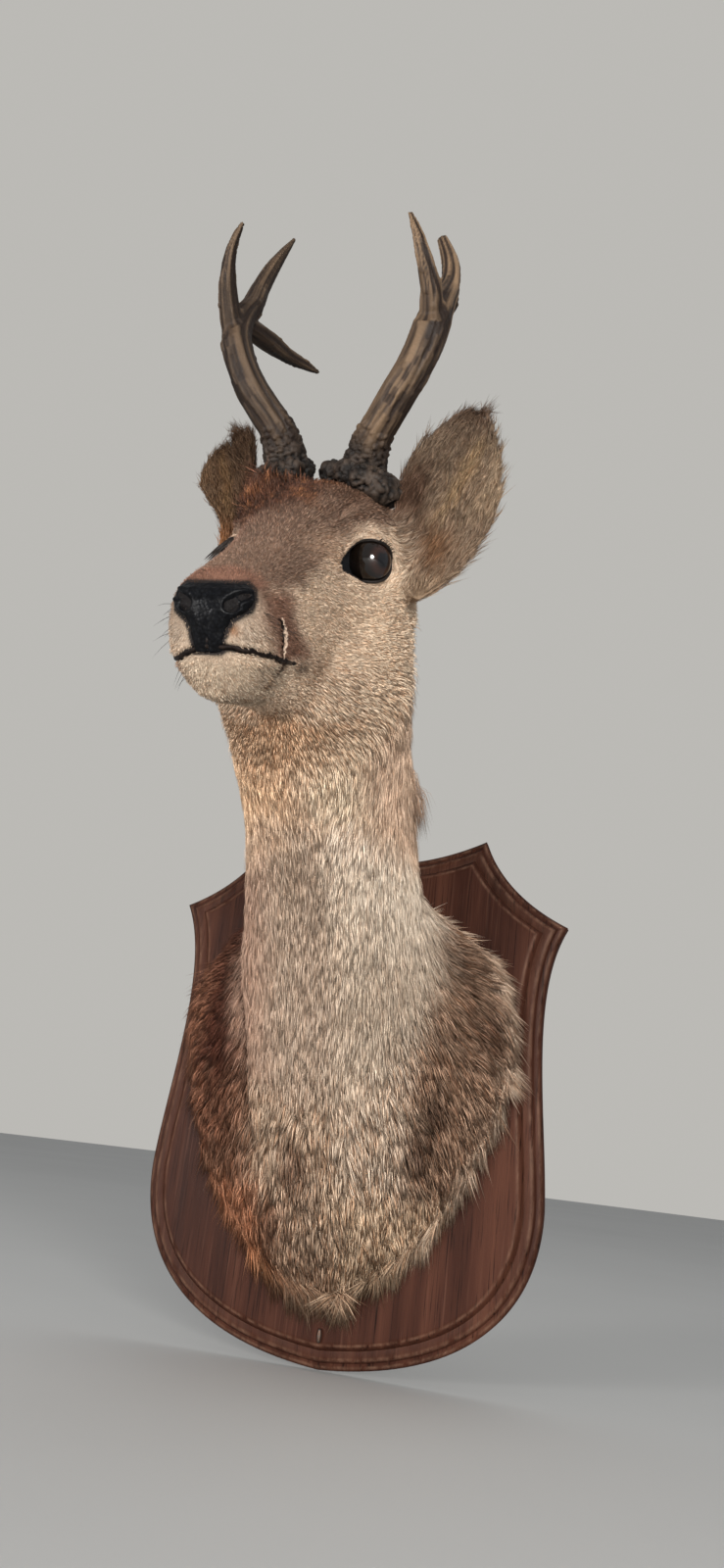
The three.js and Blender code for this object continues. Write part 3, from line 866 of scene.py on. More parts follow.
def carve_lips(mesh, head):
    """The groove of the mouth, the split lip and the neck's crease; gives distances to the first two."""
    points = from_head(head)
    set_points(mesh, points)
    normals = get_normals(mesh)
    sides = (spline(MOUTH, 40), spline(MOUTH_FAR, 24))
    lips = np.minimum(*(line_distance(head, side)[0] for side in sides))
    split, _, near = line_distance(head, spline(SPLIT, 24))
    front = head[:, 0] - near[:, 0]
    move = -1.7 * bell(lips, 1.3) + 0.5 * bell(lips - 3.2, 1.4)
    move += 1.1 * bell(split, 1.1) - 1.5 * bell(split - 1.8, 0.8) * (front > 0)
    points = points + normals * (move * MM)[:, None]
    fold = line_distance(points / MM, spline(CREASE, 24))[0]
    points = points - normals * (7.5 * bell(fold, 7.0) * MM)[:, None]
    points[:, 1] = np.minimum(points[:, 1], BOARD_FACE - 0.3 * MM)
    set_points(mesh, points)
    return lips, split, front


def build_skin_mesh():
    mesh, points = flesh_mesh()
    weights, pad_reach = node_weights(points)
    head = to_head(sunk(mesh, points, weights, pad_reach))
    edge = np.full(len(head), 99.0)
    for side in (1, -1):
        head, zone, distance = shape_lids(head, side)
        edge[zone] = np.minimum(edge[zone], distance)
    return mesh, weights, edge, *carve_lips(mesh, head)


# ---------- markings ----------


def tint(colours, colour, strength):
    return colours + (np.array(colour) - colours) * np.clip(strength, 0, 1)[:, None]


def layered(ground, count, layers):
    """A ground colour under layers, each a colour and its strength at each point."""
    colours = np.tile(ground, (count, 1))
    for colour, strength in layers:
        colours = tint(colours, colour, strength)
    return colours


def spot(head, centre, radii):
    return np.exp(-((((head - centre) / radii) ** 2).sum(1)))


def spots(places, rows):
    """Layers of soft spots: colour, strength, centre and radii."""
    return [(colour, strength * spot(places, centre, radii)) for colour, strength, centre, radii in rows]


# Colours of the coat, in linear light.
CHEEK = (0.78, 0.595, 0.435)
CHEEK_REAR = (1.0, 0.78, 0.57)
GREY_BROWN = (0.235, 0.150, 0.106)
SLATE_BROWN = (0.150, 0.084, 0.055)
RED_BROWN = (0.115, 0.047, 0.026)
PINK_BROWN = (0.36, 0.205, 0.145)
EYE_PALE = (0.53, 0.40, 0.295)
TEAR = (0.40, 0.28, 0.20)
MUZZLE_BROWN = (0.235, 0.12, 0.080)
LIP_BUFF = (0.50, 0.39, 0.295)
WARM_BROWN = (0.30, 0.15, 0.10)
CROWN, CROWN_PALE, CROWN_DARK = (0.105, 0.047, 0.029), (0.24, 0.105, 0.048), (0.038, 0.021, 0.014)
CREAM = (0.58, 0.455, 0.335)
CHIN_STREAK = (0.34, 0.215, 0.13)
RUST = (0.44, 0.20, 0.085)
UNDER_CHIN = (0.52, 0.31, 0.175)
SMEAR = (0.034, 0.018, 0.012)
NAPE = (0.27, 0.175, 0.118)


def dorsal_edge(x):
    """Height over the head's axis where the dark upper face gives way to the cheek."""
    return np.interp(x, (-146, -117, -105, -88, -74, -46, -26, -8), (53, 45, 40, 32, 23, 14, 12, 9))


def side_layers(head, ragged, side):
    """One side's ring round the eye, brown muzzle band and lip, and how near the eye is."""
    x, y, z = head.T
    back, up, out = eye_local(head, side).T
    reach = np.hypot(back + 3, up * 1.05)
    ring = ramp(-reach - 3 * ragged, -22, -14) * (out > -16)
    tear = np.hypot((back + 29) / 9, (up + 8) / 5)
    # The band runs from behind the nostril down past the corner of the mouth.
    low = np.maximum(-z, 0)
    middle = -23.5 - 1.15 * np.maximum(low - 2, 0) + 3 * ragged
    band = np.exp(-(np.abs((x - middle) / (17 + 0.55 * low)) ** 4))
    band *= ramp(-z, -16, -6) * ramp(z, -26, -17) * (side * y > 6)
    layers = [
        (EYE_PALE if side > 0 else PINK_BROWN, ring * (0.7 - 0.4 * ramp(up, 4, 14))),
        (TEAR, 0.5 * ramp(-tear, -1.3, -0.5) * (out > -16)),
        (MUZZLE_BROWN, 0.95 * band),
        (LIP_BUFF, 1.15 * spot(head, (-4, side * 17, -10), (6.5, 7.5, 6.5))),
        (WARM_BROWN, 0.7 * ramp(x, -22, -12) * ramp(z, 9, 13)),
    ]
    return layers, ramp(-reach - 4 * ragged, -30, -14) * (out > -16)


def crown_zone(head, ragged):
    """The rough red-brown fur from the middle of the forehead over to the right burr."""
    x, y, z = head.T
    reach = np.interp(x, (-150, -128, -102, -80), (14, 13, 9, 5)) - y + 10 * ragged
    zone = ramp(-x - 8 * ragged, 76, 108) * ramp(reach, -7, 13)
    return zone * ramp(z + 5 * ragged, 38, 54) * ramp(x, -176, -164)


def face_colour(head, facing, ragged):
    """Brown above, cream below, with rings round the eyes and a rough red-brown crown."""
    x, y, z = head.T
    over = z - dorsal_edge(x) + 5 * ragged
    (left, ringed), (right, ringed_right) = (side_layers(head, ragged, side) for side in (1, -1))
    ringed = np.maximum(ringed, ringed_right)
    crown = crown_zone(head, ragged)
    rough = value_noise(head, 5.0, 51) * 0.55 + value_noise(head, 2.4, 52) * 0.45
    chin = ramp(-z, 20, 24) * ramp(x, -62, -34)
    streaks = ramp(value_noise(head * (0.6, 1, 0.35), 4.2, 7), 0.15, 0.55)
    smear = spot(head, (-33, 24, -25), (3.5, 7, 6.5)) + 0.9 * spot(head, (-61, 26, -26), (11, 7, 3.6))
    rear = ramp(y, -6, 14) * ramp(-x, 92, 130) * ramp(-over, 10, 30) * (1 - 0.62 * ringed)
    layers = [
        (GREY_BROWN, ramp(over, -7, 4)),
        (SLATE_BROWN, 0.85 * ramp(-x, 96, 140) * ramp(over, 4, 14)),
        (PINK_BROWN, 0.65 * ramp(-y, 6, 24) * ramp(x, -126, -100) * ramp(over, -8, 4)),
        (RED_BROWN, 0.8 * ramp(-x, 146, 162) * ramp(z, 52, 66)),
        *left,
        *right,
        (CROWN, 1.1 * crown),
        (CROWN_PALE, 0.75 * crown * ramp(rough, 0.08, 0.5)),
        (CROWN_DARK, 0.8 * crown * ramp(-rough, 0.02, 0.42)),
    ]
    layers += spots(head, (
        ((0.155, 0.092, 0.064), 0.5, (-84, -4, 47), (20, 16, 10)),
        # Darker spot below and ahead of the eye: painted shade.
        ((0.38, 0.275, 0.20), 0.7, (-122, 42, 12), (13, 12, 7)),
        (RUST, 0.9, (0.5, 11.5, -7.5), (3, 2.6, 2.6)),
    ))
    layers += [
        (CREAM, chin),
        (CHIN_STREAK, 0.75 * chin * streaks * ramp(-z, 26, 32)),
        (UNDER_CHIN, 0.85 * ramp(-z, 42, 56) * ramp(-x, 14, 40) * ramp(facing[:, 2] * -1, 0.1, 0.6)),
        (WARM_BROWN, 0.8 * ramp(-y, 12, 20) * chin * ramp(x, -40, -8)),
        (SMEAR, 1.2 * smear * ramp(ragged, -0.8, 0.0)),
    ]
    layers += spots(head, (
        # Light-brown patch on the side of the bridge before the eye, brightened as painted light on a lit slope.
        ((0.60, 0.41, 0.285), 0.8, (-88, 26, 35), (24, 8, 8)),
        ((0.34, 0.21, 0.135), 0.6, (-82, 26, -26), (10, 9, 6)),
    ))
    layers += [(CHEEK_REAR, 0.85 * rear), (NAPE, 0.9 * ramp(-facing[:, 0], 0.25, 0.7) * ramp(-x, 115, 145))]
    return layered(CHEEK, len(head), layers)


def neck_colour(row, normals, ragged):
    """Pale down the front, warm under the throat, where the colour is also lifted as painted light, and on the
    right, browner on the nape.
    """
    across, _, height = row.T
    pale = ramp(across + 5 * ragged, 2, 27) * ramp(height, -90, -20)
    mottle = spot(row, (-3, -160, 104), (17, 30, 15)) * ramp(ragged, -0.5, 0.3)
    high = ramp(height + 5 * ragged, 130, 150)
    return layered((0.54, 0.41, 0.31), len(row), (
        ((0.67, 0.54, 0.415), 0.9 * pale),
        ((0.90, 0.76, 0.61), 0.85 * pale * ramp(height, 62, 108)),
        ((0.52, 0.32, 0.23), 0.75 * ramp(-across, 12, 46)),
        ((0.36, 0.25, 0.175), 0.55 * mottle),
        ((0.84, 0.61, 0.43), 0.8 * ramp(height + 9 * ragged - 0.2 * across, 116, 138)),
        # Bright cream band where the fur turns on the neck, partly its colour and partly a painted highlight.
        ((1.0, 0.83, 0.67), 0.75 * spot(row, (27, -170, 130), (15, 40, 9))),
        # Warm throat under the jaw on the left, partly its colour and partly painted light lifting it to full
        # brightness.
        ((1.0, 0.83, 0.62), 0.9 * high * ramp(across, -6, 16)),
        ((0.72, 0.50, 0.36), 0.85 * ramp(height + 9 * ragged, 122, 146) * ramp(across, 22, 44)),
        # Warm throat under the jaw on the right, partly its colour and partly painted light lifting it to full
        # brightness.
        ((1.0, 0.69, 0.44), 0.9 * high * ramp(-across, -6, 16)),
        ((0.46, 0.31, 0.215), 0.5 * ramp(-height, 30, 90) * ramp(-across, -24, 6)),
        ((0.22, 0.125, 0.080), 0.85 * nape_tuft(row)),
        ((0.26, 0.168, 0.113), 0.8 * spot(row, (64, -56, 92), (16, 24, 18))),
        (NAPE, 0.9 * ramp(normals[:, 1], -0.15, 0.45)),
    ))


def cape_colour(row, ragged, patch):
    """Dark banded wings, the right one darkest, paler over the breast and along the hem."""
    across, out, height = row.T
    wing = np.abs(across + 2) + 5 * ragged
    breast = ramp(-wing, -52, -26) * ramp(height, -132, -40)
    pale = 0.85 * ramp(across + 4 * ragged, 6, 24) * ramp(-across, -60, -40) * ramp(height, -104, -50)
    dark = ramp(-across, 34, 60) * ramp(height + 7 * ragged, -26, 20) * ramp(across + 6 * ragged, -94, -76)
    low = ramp(-height + 6 * ragged, 44, 74) * ramp(across, 0, 26)
    hem = ramp(out, -40, -22) * ramp(across, 16, 52)
    pale_hem = hem * (0.75 + 0.25 * ragged) * ramp(height, -110, -84)
    blot = 0.5 * ramp(patch, 0.1, 0.6) * (1 - breast) * (1 - 0.8 * low)
    seam = spot(row, (63, -64, -8), (6, 22, 13)) + spot(row, (56, -64, -34), (5, 22, 12))
    seam += spot(row, (-35, -30, -101), (5, 30, 17))
    layers = [
        ((0.52, 0.375, 0.265), breast),
        ((0.68, 0.53, 0.40), pale),
        ((0.21, 0.090, 0.052), 0.94 * ramp(-across, 30, 58) * ramp(height, -76, -36)),
        ((0.078, 0.025, 0.015), 0.92 * dark),
        ((0.46, 0.19, 0.098), 0.8 * ramp(-across, 20, 44) * ramp(-height, 40, 68)),
        ((0.30, 0.135, 0.060), 0.75 * spot(row, (-46, -26, -106), (10, 40, 16))),
        ((0.20, 0.105, 0.067), 0.8 * spot(row, (-9, -85, -49), (10, 24, 19)) * ramp(ragged, -0.9, 0.0)),
        ((0.235, 0.112, 0.066), 0.8 * spot(row, (-27, -60, -79), (12, 24, 17)) * ramp(ragged, -0.9, -0.1)),
        ((0.74, 0.535, 0.36), 0.95 * low * ramp(patch, -0.9, -0.1)),
        ((0.30, 0.20, 0.13), 0.6 * ramp(-height, 96, 122)),
        ((0.72, 0.55, 0.41), 0.8 * pale_hem),
    ]
    layers += spots(row, (
        ((0.15, 0.095, 0.058), 0.95, (35, -36, -107), (16, 24, 14)),
        ((0.35, 0.215, 0.125), 0.6, (54, -20, -97), (14, 16, 12)),
        ((0.42, 0.305, 0.215), 0.6, (13, -62, -84), (13, 18, 13)),
        ((0.24, 0.155, 0.105), 0.9, (62, -57, 90), (18, 24, 17)),
        ((0.10, 0.050, 0.031), 0.9, (89, -43, 42), (10, 24, 16)),
    ))
    layers += [((0.12, 0.066, 0.042), blot), ((0.055, 0.028, 0.018), 0.85 * seam)]
    return layered((0.33, 0.205, 0.135), len(row), layers)


EAR_OPEN = unit(np.array((0.79, 0.0, 0.57)))  # way that the ears' hollows face


def ear_colour(head, facing, side):
    """Greyish buff inside with dark edges and tip, orange at the root, brown behind."""
    _, y, z = head.T
    out = side * y
    inner = ramp(facing @ EAR_OPEN, -0.1, 0.35)
    streak = bell(out - 74 - 0.35 * (z - 80), 4.5)
    margin = ramp(out + 0.3 * (80 - z), 78, 90) * ramp(z, 40, 60)
    return layered((0.175, 0.105, 0.068), len(head), (
        ((0.235, 0.163, 0.110), inner),
        ((0.42, 0.28, 0.15), 0.7 * inner * streak * ramp(z, 40, 60) * ramp(-z, -104, -90)),
        ((0.095, 0.055, 0.036), 0.8 * ramp(z, 94, 118)),
        ((0.085, 0.042, 0.026), 0.85 * ramp(-out, -58, -50) * ramp(z, 34, 50) * ramp(-z, -92, -70)),
        ((0.33, 0.235, 0.15), 0.6 * margin * ramp(-z, -112, -96)),
        ((0.19, 0.080, 0.029), 0.95 * spot(head, (-155, side * 59, 33), (15, 11, 15))),
        ((0.075, 0.036, 0.022), 0.9 * spot(head, (-149, side * 54, 40), (8, 6, 16))),
        ((0.44, 0.30, 0.19), 0.7 * ramp(-z, -22, -8)),
    ))


def markings(points, normals, weights):
    """Colour of the coat at any place, in linear light."""
    head = to_head(points)
    row = points / MM
    facing = normals @ HEAD_AXES.T
    patch = value_noise(row, 26, 3) * 0.6 + value_noise(row, 11, 4) * 0.4
    ragged = value_noise(row, 9, 6) * 0.6 + value_noise(row, 4.0, 8) * 0.4
    fine = value_noise(row, 4.5, 5)
    right_ear = ear_colour(head, facing, -1) * (0.5, 0.42, 0.36)
    right_ear = tint(right_ear, (0.36, 0.15, 0.055), 0.8 * ramp(-head[:, 2], -52, -34))
    parts = (
        cape_colour(row, ragged, patch),
        neck_colour(row, normals, ragged),
        face_colour(head, facing, ragged),
        ear_colour(head, facing, 1),
        right_ear,
    )
    colour = (weights[:, :, None] * np.stack(parts, axis=1)).sum(1)
    tone = 1 + 0.08 * patch + 0.06 * fine
    return colour * tone[:, None]


# ---------- lie of the coat ----------


def crown_tuft(head):
    """Strong in front of the right burr, where a rough tuft stands up."""
    return np.minimum(1.3 * spot(head, (-140, -30, 71), (21, 21, 18)), 1) * ramp(head[:, 0], -168, -158)


def nape_tuft(row):
    """Strong on the left of the nape, where a few locks stand away from the neck."""
    return spot(row, (47, -108, 176), (18, 18, 13))


HEM_TUFTS = ((-46, -24, -116), (-29, -24, -128), (24, -24, -126), (58, -24, -100))


def part_round_eye(face, head, side):
    """Turns the face's lie aside, as a stream goes round a stone."""
    x, _, z = (head - EYE * (1, side, 1)).T
    reach = np.hypot(x, z)
    x, z = x / np.maximum(reach, 1), z / np.maximum(reach, 1)
    pull = np.clip((14.0 / np.maximum(reach, 14.0)) ** 2, 0, 1) * ramp(side * head[:, 1], 16, 26)
    dot = face[:, 0] * x + face[:, 2] * z
    face[:, 0] -= pull * (2 * dot * x - face[:, 0])
    face[:, 2] -= pull * (2 * dot * z - face[:, 2])


def lie_of_coat(points, normals, weights, web):
    """The way the hair lies at each point, along the skin."""
    head = to_head(points)
    x, _, z = head.T
    row = points / MM
    facing = normals @ HEAD_AXES.T
    flank = 1 - np.abs(facing[:, 2])
    face = np.stack((-np.ones(len(x)), np.zeros(len(x)), -0.35 * flank), axis=1)
    lip = ramp(x, -55, -25) * ramp(-z, -4, 8) * ramp(z, -26, -20)
    face[:, 2] -= 0.5 * lip
    for side in (1, -1):
        part_round_eye(face, head, side)
    stand = crown_tuft(head)[:, None]
    face = face * (1 - stand) + np.array((0.1, -0.35, 1.0)) * stand
    face = face @ HEAD_AXES
    neck = np.tile((0.0, 0.3, -1.0), (len(x), 1))
    neck[:, 1] += 0.6 * ramp(normals[:, 1], 0.0, 0.6)
    cape = unit(np.stack((row[:, 0] + 2, 12 + 0 * row[:, 0], row[:, 2] - 62), axis=1))
    cape = cape + np.array((0, 0.15, -0.45))
    ears = [np.tile((-0.55, side * 0.28, 0.8), (len(x), 1)) @ HEAD_AXES for side in (1, -1)]
    parts = np.stack((cape, neck, face, *ears), axis=1)
    lie = (weights[:, :, None] * parts).sum(1)
    for _ in range(14):
        lie = lie - normals * (lie * normals).sum(1, keepdims=True)
        lie = 0.4 * unit(lie) + 0.6 * web.mean(unit(lie))
    lie = lie - normals * (lie * normals).sum(1, keepdims=True)
    return unit(lie)


# Coat of each solid's area: tufts a square millimetre, then length, width and rise in millimetres.
COAT = np.array(
    (
        (1.15, 18.5, 0.56, 3.8),  # cape
        (1.05, 17.5, 0.43, 2.0),  # neck
        (2.20, 5.0, 0.32, 0.9),  # head
        (1.80, 8.5, 0.36, 1.0),  # left ear
        (1.70, 7.5, 0.36, 1.0),  # right ear
    )
)


def coat_fields(points, normals, weights, pad_reach, edge, lips, split):
    """How thick, long, wide, raised and free the tufts are at each point."""
    head = to_head(points)
    row = points / MM
    density, length, width, rise = (weights @ COAT).T
    face = weights[:, 2]
    muzzle = face * ramp(head[:, 0], -95, -30)
    length = length * (1 - 0.45 * muzzle)
    width = width * (1 - 0.2 * muzzle)
    density = density * (1 + 0.5 * muzzle)
    jaw = face * ramp(-head[:, 2], 10, 45) * ramp(-head[:, 0], 50, 100)
    length = length * (1 + 0.8 * jaw)
    width = width * (1 + 0.35 * jaw)
    rise = rise * (1 + 0.9 * jaw)
    crown = face * spot(head, (-156, 0, 78), (16, 34, 14))
    tuft = face * crown_tuft(head)
    ruff = face * ramp(-head[:, 0], 118, 146) * ramp(head[:, 1], 28, 44) * ramp(-head[:, 2], -20, 10)
    nape = weights[:, 1] * nape_tuft(row)
    length = length * (1 + 0.5 * crown + 1.7 * tuft + 0.5 * ruff + 0.5 * nape)
    rise = rise * (1 + 1.2 * crown + 7.0 * tuft + 2.0 * ruff + 4.5 * nape)
    density = density * (1 + 0.9 * tuft)
    hem = weights[:, 0] * ramp(row[:, 1], -40, -26)
    density = density * (1 + 0.8 * hem)
    points_down = sum(spot(row, place, (6, 30, 11)) for place in HEM_TUFTS)
    length = length * (1 + 0.12 * hem + 0.55 * points_down)
    inner = ears_of(weights) * ramp((normals @ HEAD_AXES.T) @ EAR_OPEN, 0.0, 0.5)
    length = length * (1 + 0.9 * inner)
    rise = rise * (1 + 1.6 * inner)
    lid = np.exp(-np.maximum(edge, 0) / 5.0)
    length = length * (1 - 0.62 * lid)
    rise = rise * (1 - 0.75 * lid)
    bare = (edge < 0.7) | (lips < 1.2) | (split < 1.2) | (pad_reach < 0.4)
    density = np.where(bare, 0, density)
    hidden = row[:, 1] > -18.6
    density = np.where(hidden, 0, density)
    free = np.clip(hem + 0.6 * inner + 0.8 * tuft + 0.35 * ruff + 0.8 * nape, 0, 1)
    return density, length, width, rise, free


def plant(mesh, fields, density, total):
    """Random roots on the skin, with the fields' values there."""
    tris = triangles_of(mesh)
    points = get_points(mesh) / MM
    a, b, c = points[tris[:, 0]], points[tris[:, 1]], points[tris[:, 2]]
    area = np.linalg.norm(np.cross(b - a, c - a), axis=1) / 2
    share = np.cumsum(area * density[tris].mean(1))
    count = int(min(total, share[-1]))
    at = (np.arange(count) + RNG.random(count)) / count * share[-1]
    chosen = np.searchsorted(share, at)
    chosen = np.minimum(chosen, len(tris) - 1)
    u, v = RNG.random((2, count))
    over = u + v > 1
    u[over], v[over] = 1 - u[over], 1 - v[over]
    bary = np.stack((1 - u - v, u, v), axis=1)
    made = []
    for field in fields:
        shares = bary.reshape(count, 3, *([1] * (field.ndim - 1)))
        made.append((field[tris[chosen]] * shares).sum(1))
    return made


TUFTS = 248000


def grow_coat(mesh, weights, fields, lie, unwrap):
    density, length, width, rise, free = fields
    points = get_points(mesh)
    normals = get_normals(mesh)
    keep = [points, normals, lie, weights, length, width, rise, free, unwrap]
    planted = plant(mesh, keep, density, TUFTS)
    root, normal, lay, part, long, wide, high, loose, place = planted
    n = len(root)
    normal, lay = unit(normal), unit(lay)
    # Locks: each tuft leans towards the nearest lock's lie.
    odds = 1 / (part @ np.array((5.0, 3.4, 1.7, 2.6, 2.6)) * (1 + 0.8 * loose)) ** 2
    leaders = RNG.choice(n, int(n * 0.1), replace=False, p=odds / odds.sum())
    lock, _ = nearest_seed(root[leaders], root)
    leader = leaders[lock]
    calm = 1 - 0.5 * part[:, 1] - 0.45 * part[:, 2]
    turn_lock = RNG.normal(0, 0.10, len(leaders))[lock] * calm
    turn = turn_lock + RNG.normal(0, 0.06, n) + 0.13 * calm * value_noise(root / MM, 18, 9)
    turn = turn * (1 + 0.6 * loose)
    across = np.cross(lay, normal)
    along = unit(lay * np.cos(turn)[:, None] + across * np.sin(turn)[:, None])
    long = long * np.clip(RNG.normal(1, 0.17, n), 0.55, 1.5)
    wide = wide * np.clip(RNG.normal(1, 0.2, n), 0.6, 1.5)
    high = high * np.clip(RNG.normal(0.8, 0.32, n), 0.15, 1.9)
    high = high * (1 + 0.25 * RNG.normal(0, 1, len(leaders))[lock])
    high = np.maximum(high, 0.2)
    mid = root + along * (0.45 * long * MM)[:, None]
    tip = root + along * (long * MM)[:, None]
    gather = np.clip(0.26 + 0.24 * part[:, 0] + 0.02 * part[:, 1] + 0.3 * loose * part[:, 0], 0, 0.8)[:, None]
    pull = root[leader] - root
    mid = mid + pull * gather * 0.45
    tip = tip + pull * gather
    skin = BVHTree.FromPolygons(points.tolist(), triangles_of(mesh).tolist())
    mid, mid_normal = hug(skin, mid, normal, high * 0.75, loose * 0.6)
    tip, _ = hug(skin, tip, mid_normal, high, loose)
    tip[:, 2] -= loose * long * 0.1 * MM
    return dict(
        root=root - normal * 0.5 * MM, mid=mid, tip=tip, normal=mid_normal, wide=wide,
        part=part, place=place, lock=lock, skin_normal=normal,
    )


def triangles_of(mesh):
    tris = np.empty(len(mesh.polygons) * 3, np.int64)
    mesh.polygons.foreach_get("vertices", tris)
    return tris.reshape(-1, 3)


def hug(skin, points, normals, height, loose):
    """Brings points to a height over the skin, less where the coat hangs free."""
    found = [skin.find_nearest(p) for p in points.tolist()]
    near = np.array([f[0] for f in found])
    up = np.array([f[1] for f in found])
    gap = points - near
    off = (gap * up).sum(1)
    level = near + up * (height * MM)[:, None] + (gap - up * off[:, None])
    free = points + normals * (height * MM)[:, None]
    made = level * (1 - loose)[:, None] + free * loose[:, None]
    blended = unit(up * (1 - loose)[:, None] + normals * loose[:, None])
    made[:, 1] = np.minimum(made[:, 1], BOARD_FACE - 0.5 * MM)
    return made, blended


FACES = np.array(((0, 1, 3), (0, 3, 2), (0, 2, 1), (4, 3, 1), (4, 2, 3), (4, 1, 2)))
PATCH = 0.003
PATCH_PLACES = np.array(((0.5, 0.0), (0.0, 0.5), (1.0, 0.5), (0.5, 0.5), (0.5, 1.0))) * PATCH


def tuft_mesh(name, tufts, chosen, colours):
    """Closed spindles, each a root, a ring of three and a tip, joined in one mesh."""
    t = {key: value[chosen] for key, value in tufts.items()}
    n = len(chosen)
    along = unit(t["tip"] - t["root"])
    up = unit(t["normal"] - along * (t["normal"] * along).sum(1, keepdims=True))
    side = np.cross(along, up)
    half = (t["wide"] * 0.5 * MM)[:, None]
    ring = np.stack((t["mid"] + side * half, t["mid"] - side * half, t["mid"] + up * half * 0.8), axis=1)
    verts = np.concatenate((t["root"][:, None], ring, t["tip"][:, None]), axis=1)
    verts[:, :, 1] = np.minimum(verts[:, :, 1], BOARD_FACE - 0.2 * MM)
    a, b, c = (verts[:, k] for k in FACES[0])
    facing = (np.cross(b - a, c - a) * (up + side)).sum()
    faces = FACES if facing > 0 else FACES[:, ::-1]
    index = (np.arange(n)[:, None, None] * 5 + faces[None]).reshape(-1)
    mesh = bpy.data.meshes.new(name)
    mesh.vertices.add(n * 5)
    mesh.vertices.foreach_set("co", verts.astype(np.float32).ravel())
    mesh.loops.add(n * 18)
    mesh.loops.foreach_set("vertex_index", index.astype(np.int32))
    mesh.polygons.add(n * 6)
    mesh.polygons.foreach_set("loop_start", np.arange(0, n * 18, 3, dtype=np.int32))
    mesh.update(calc_edges=True)
    place = t["place"]
    low, high = place.min(0), place.max(0)
    corner = (place - low) / (high - low) * (1 - 2 * PATCH) * 0.99
    patch = corner[:, None] + PATCH_PLACES[None]
    uv = mesh.uv_layers.new(name="OFBake")
    uv.data.foreach_set("uv", patch[np.arange(n)[:, None, None], faces[None]].astype(np.float32).ravel())
    dark, pale = colours[0][chosen], colours[1][chosen]
    shades = np.stack((dark, (dark + pale) / 2, (dark + pale) / 2, (dark + 3 * pale) / 4, pale), axis=1)
    paint(mesh, "coat_colour", shades.reshape(-1, 3))
    finish_piece(add_object(name, mesh), LOOKS["coat"])


def coat_colours(tufts):
    base = markings(tufts["root"], tufts["skin_normal"], tufts["part"])
    n = len(base)
    locks = tufts["lock"].max() + 1
    face = tufts["part"][:, 2]
    rough = face * crown_tuft(to_head(tufts["root"]))
    calm = 1 - 0.35 * tufts["part"][:, 1]
    dusky = face * ramp(-base[:, 0], -0.34, -0.2)
    tone = 1 + RNG.normal(0, 0.07, locks)[tufts["lock"]] * calm * (1 + 0.9 * face + 1.4 * dusky)
    tone += RNG.normal(0, 0.10, n) * calm * (1 + 0.5 * face + 1.6 * dusky)
    base = base * np.clip(tone, 0.6, 1.5)[:, None]
    pick = RNG.random(n)[:, None]
    speckle = (tufts["part"] @ np.array((1.0, 0.5, 0.95, 0.75, 0.75)))[:, None]
    brown = 1 + (np.array((0.70, 0.60, 0.54)) - 1) * speckle
    cream = 1 + (np.array((1.22, 1.27, 1.32)) - 1) * speckle
    base = np.where(pick < 0.3, base * brown, np.where(pick > 0.72, base * cream, base))
    agouti = tufts["part"][:, 0]
    dark = base * (0.82 - 0.24 * agouti - 0.35 * rough)[:, None]
    band = np.where(RNG.random(n) < 0.28, 1.8, 0.95)
    pale = base * (1.08 + agouti * (band - 1.08))[:, None]
    pale = pale * (1 + rough[:, None] * np.where(RNG.random(n) < 0.4, 1.1, -0.1)[:, None] * (1.0, 0.85, 0.7))
    return dark, pale


# ---------- unwrap of the skin ----------


def unwrap_skin(points, weights):
    """Angle round the part's own line and distance along it, as lengths in millimetres."""
    head = to_head(points)
    row = points / MM
    around_head = np.arctan2(head[:, 1], head[:, 2] - 4) * 45
    along_neck = row[:, 2] - 0.45 * (row[:, 1] + 60)
    around_neck = np.arctan2(row[:, 0] + 2, -(row[:, 1] + 60)) * 55
    trunk = np.stack((around_neck, along_neck), axis=1)
    ear = np.stack((head[:, 1] - head[:, 0] * 0.2, head[:, 2]), axis=1)
    faces = (trunk, trunk, np.stack((around_head, head[:, 0]), axis=1), ear, ear)
    whole = np.zeros((len(points), 2))
    best = weights.argmax(1)
    for k, face in enumerate(faces):
        whole[best == k] = face[best == k]
    return whole


def split_coat(tufts):
    """Which tufts go in which piece of the coat."""
    part = tufts["part"].argmax(1)
    head = to_head(tufts["root"])
    row = tufts["root"] / MM
    left = row[:, 0] > -2
    front = head[:, 0] > -78
    low = row[:, 2] < 78
    hem = row[:, 2] < -20
    pieces = {
        "fur_ear_left": part == 3,
        "fur_ear_right": part == 4,
        "fur_muzzle": (part == 2) & front,
    }
    for word, side in (("left", left), ("right", ~left)):
        pieces["fur_face_" + word] = (part == 2) & ~front & side & (head[:, 2] > 0)
        pieces["fur_jaw_" + word] = (part == 2) & ~front & side & (head[:, 2] <= 0)
        pieces["fur_neck_" + word] = (part == 1) & side & ~low
        pieces["fur_breast_" + word] = (part == 1) & side & low
        pieces["fur_cape_" + word] = (part == 0) & side & ~hem
        pieces["fur_hem_" + word] = (part == 0) & side & hem
    return pieces


# ---------- antlers ----------

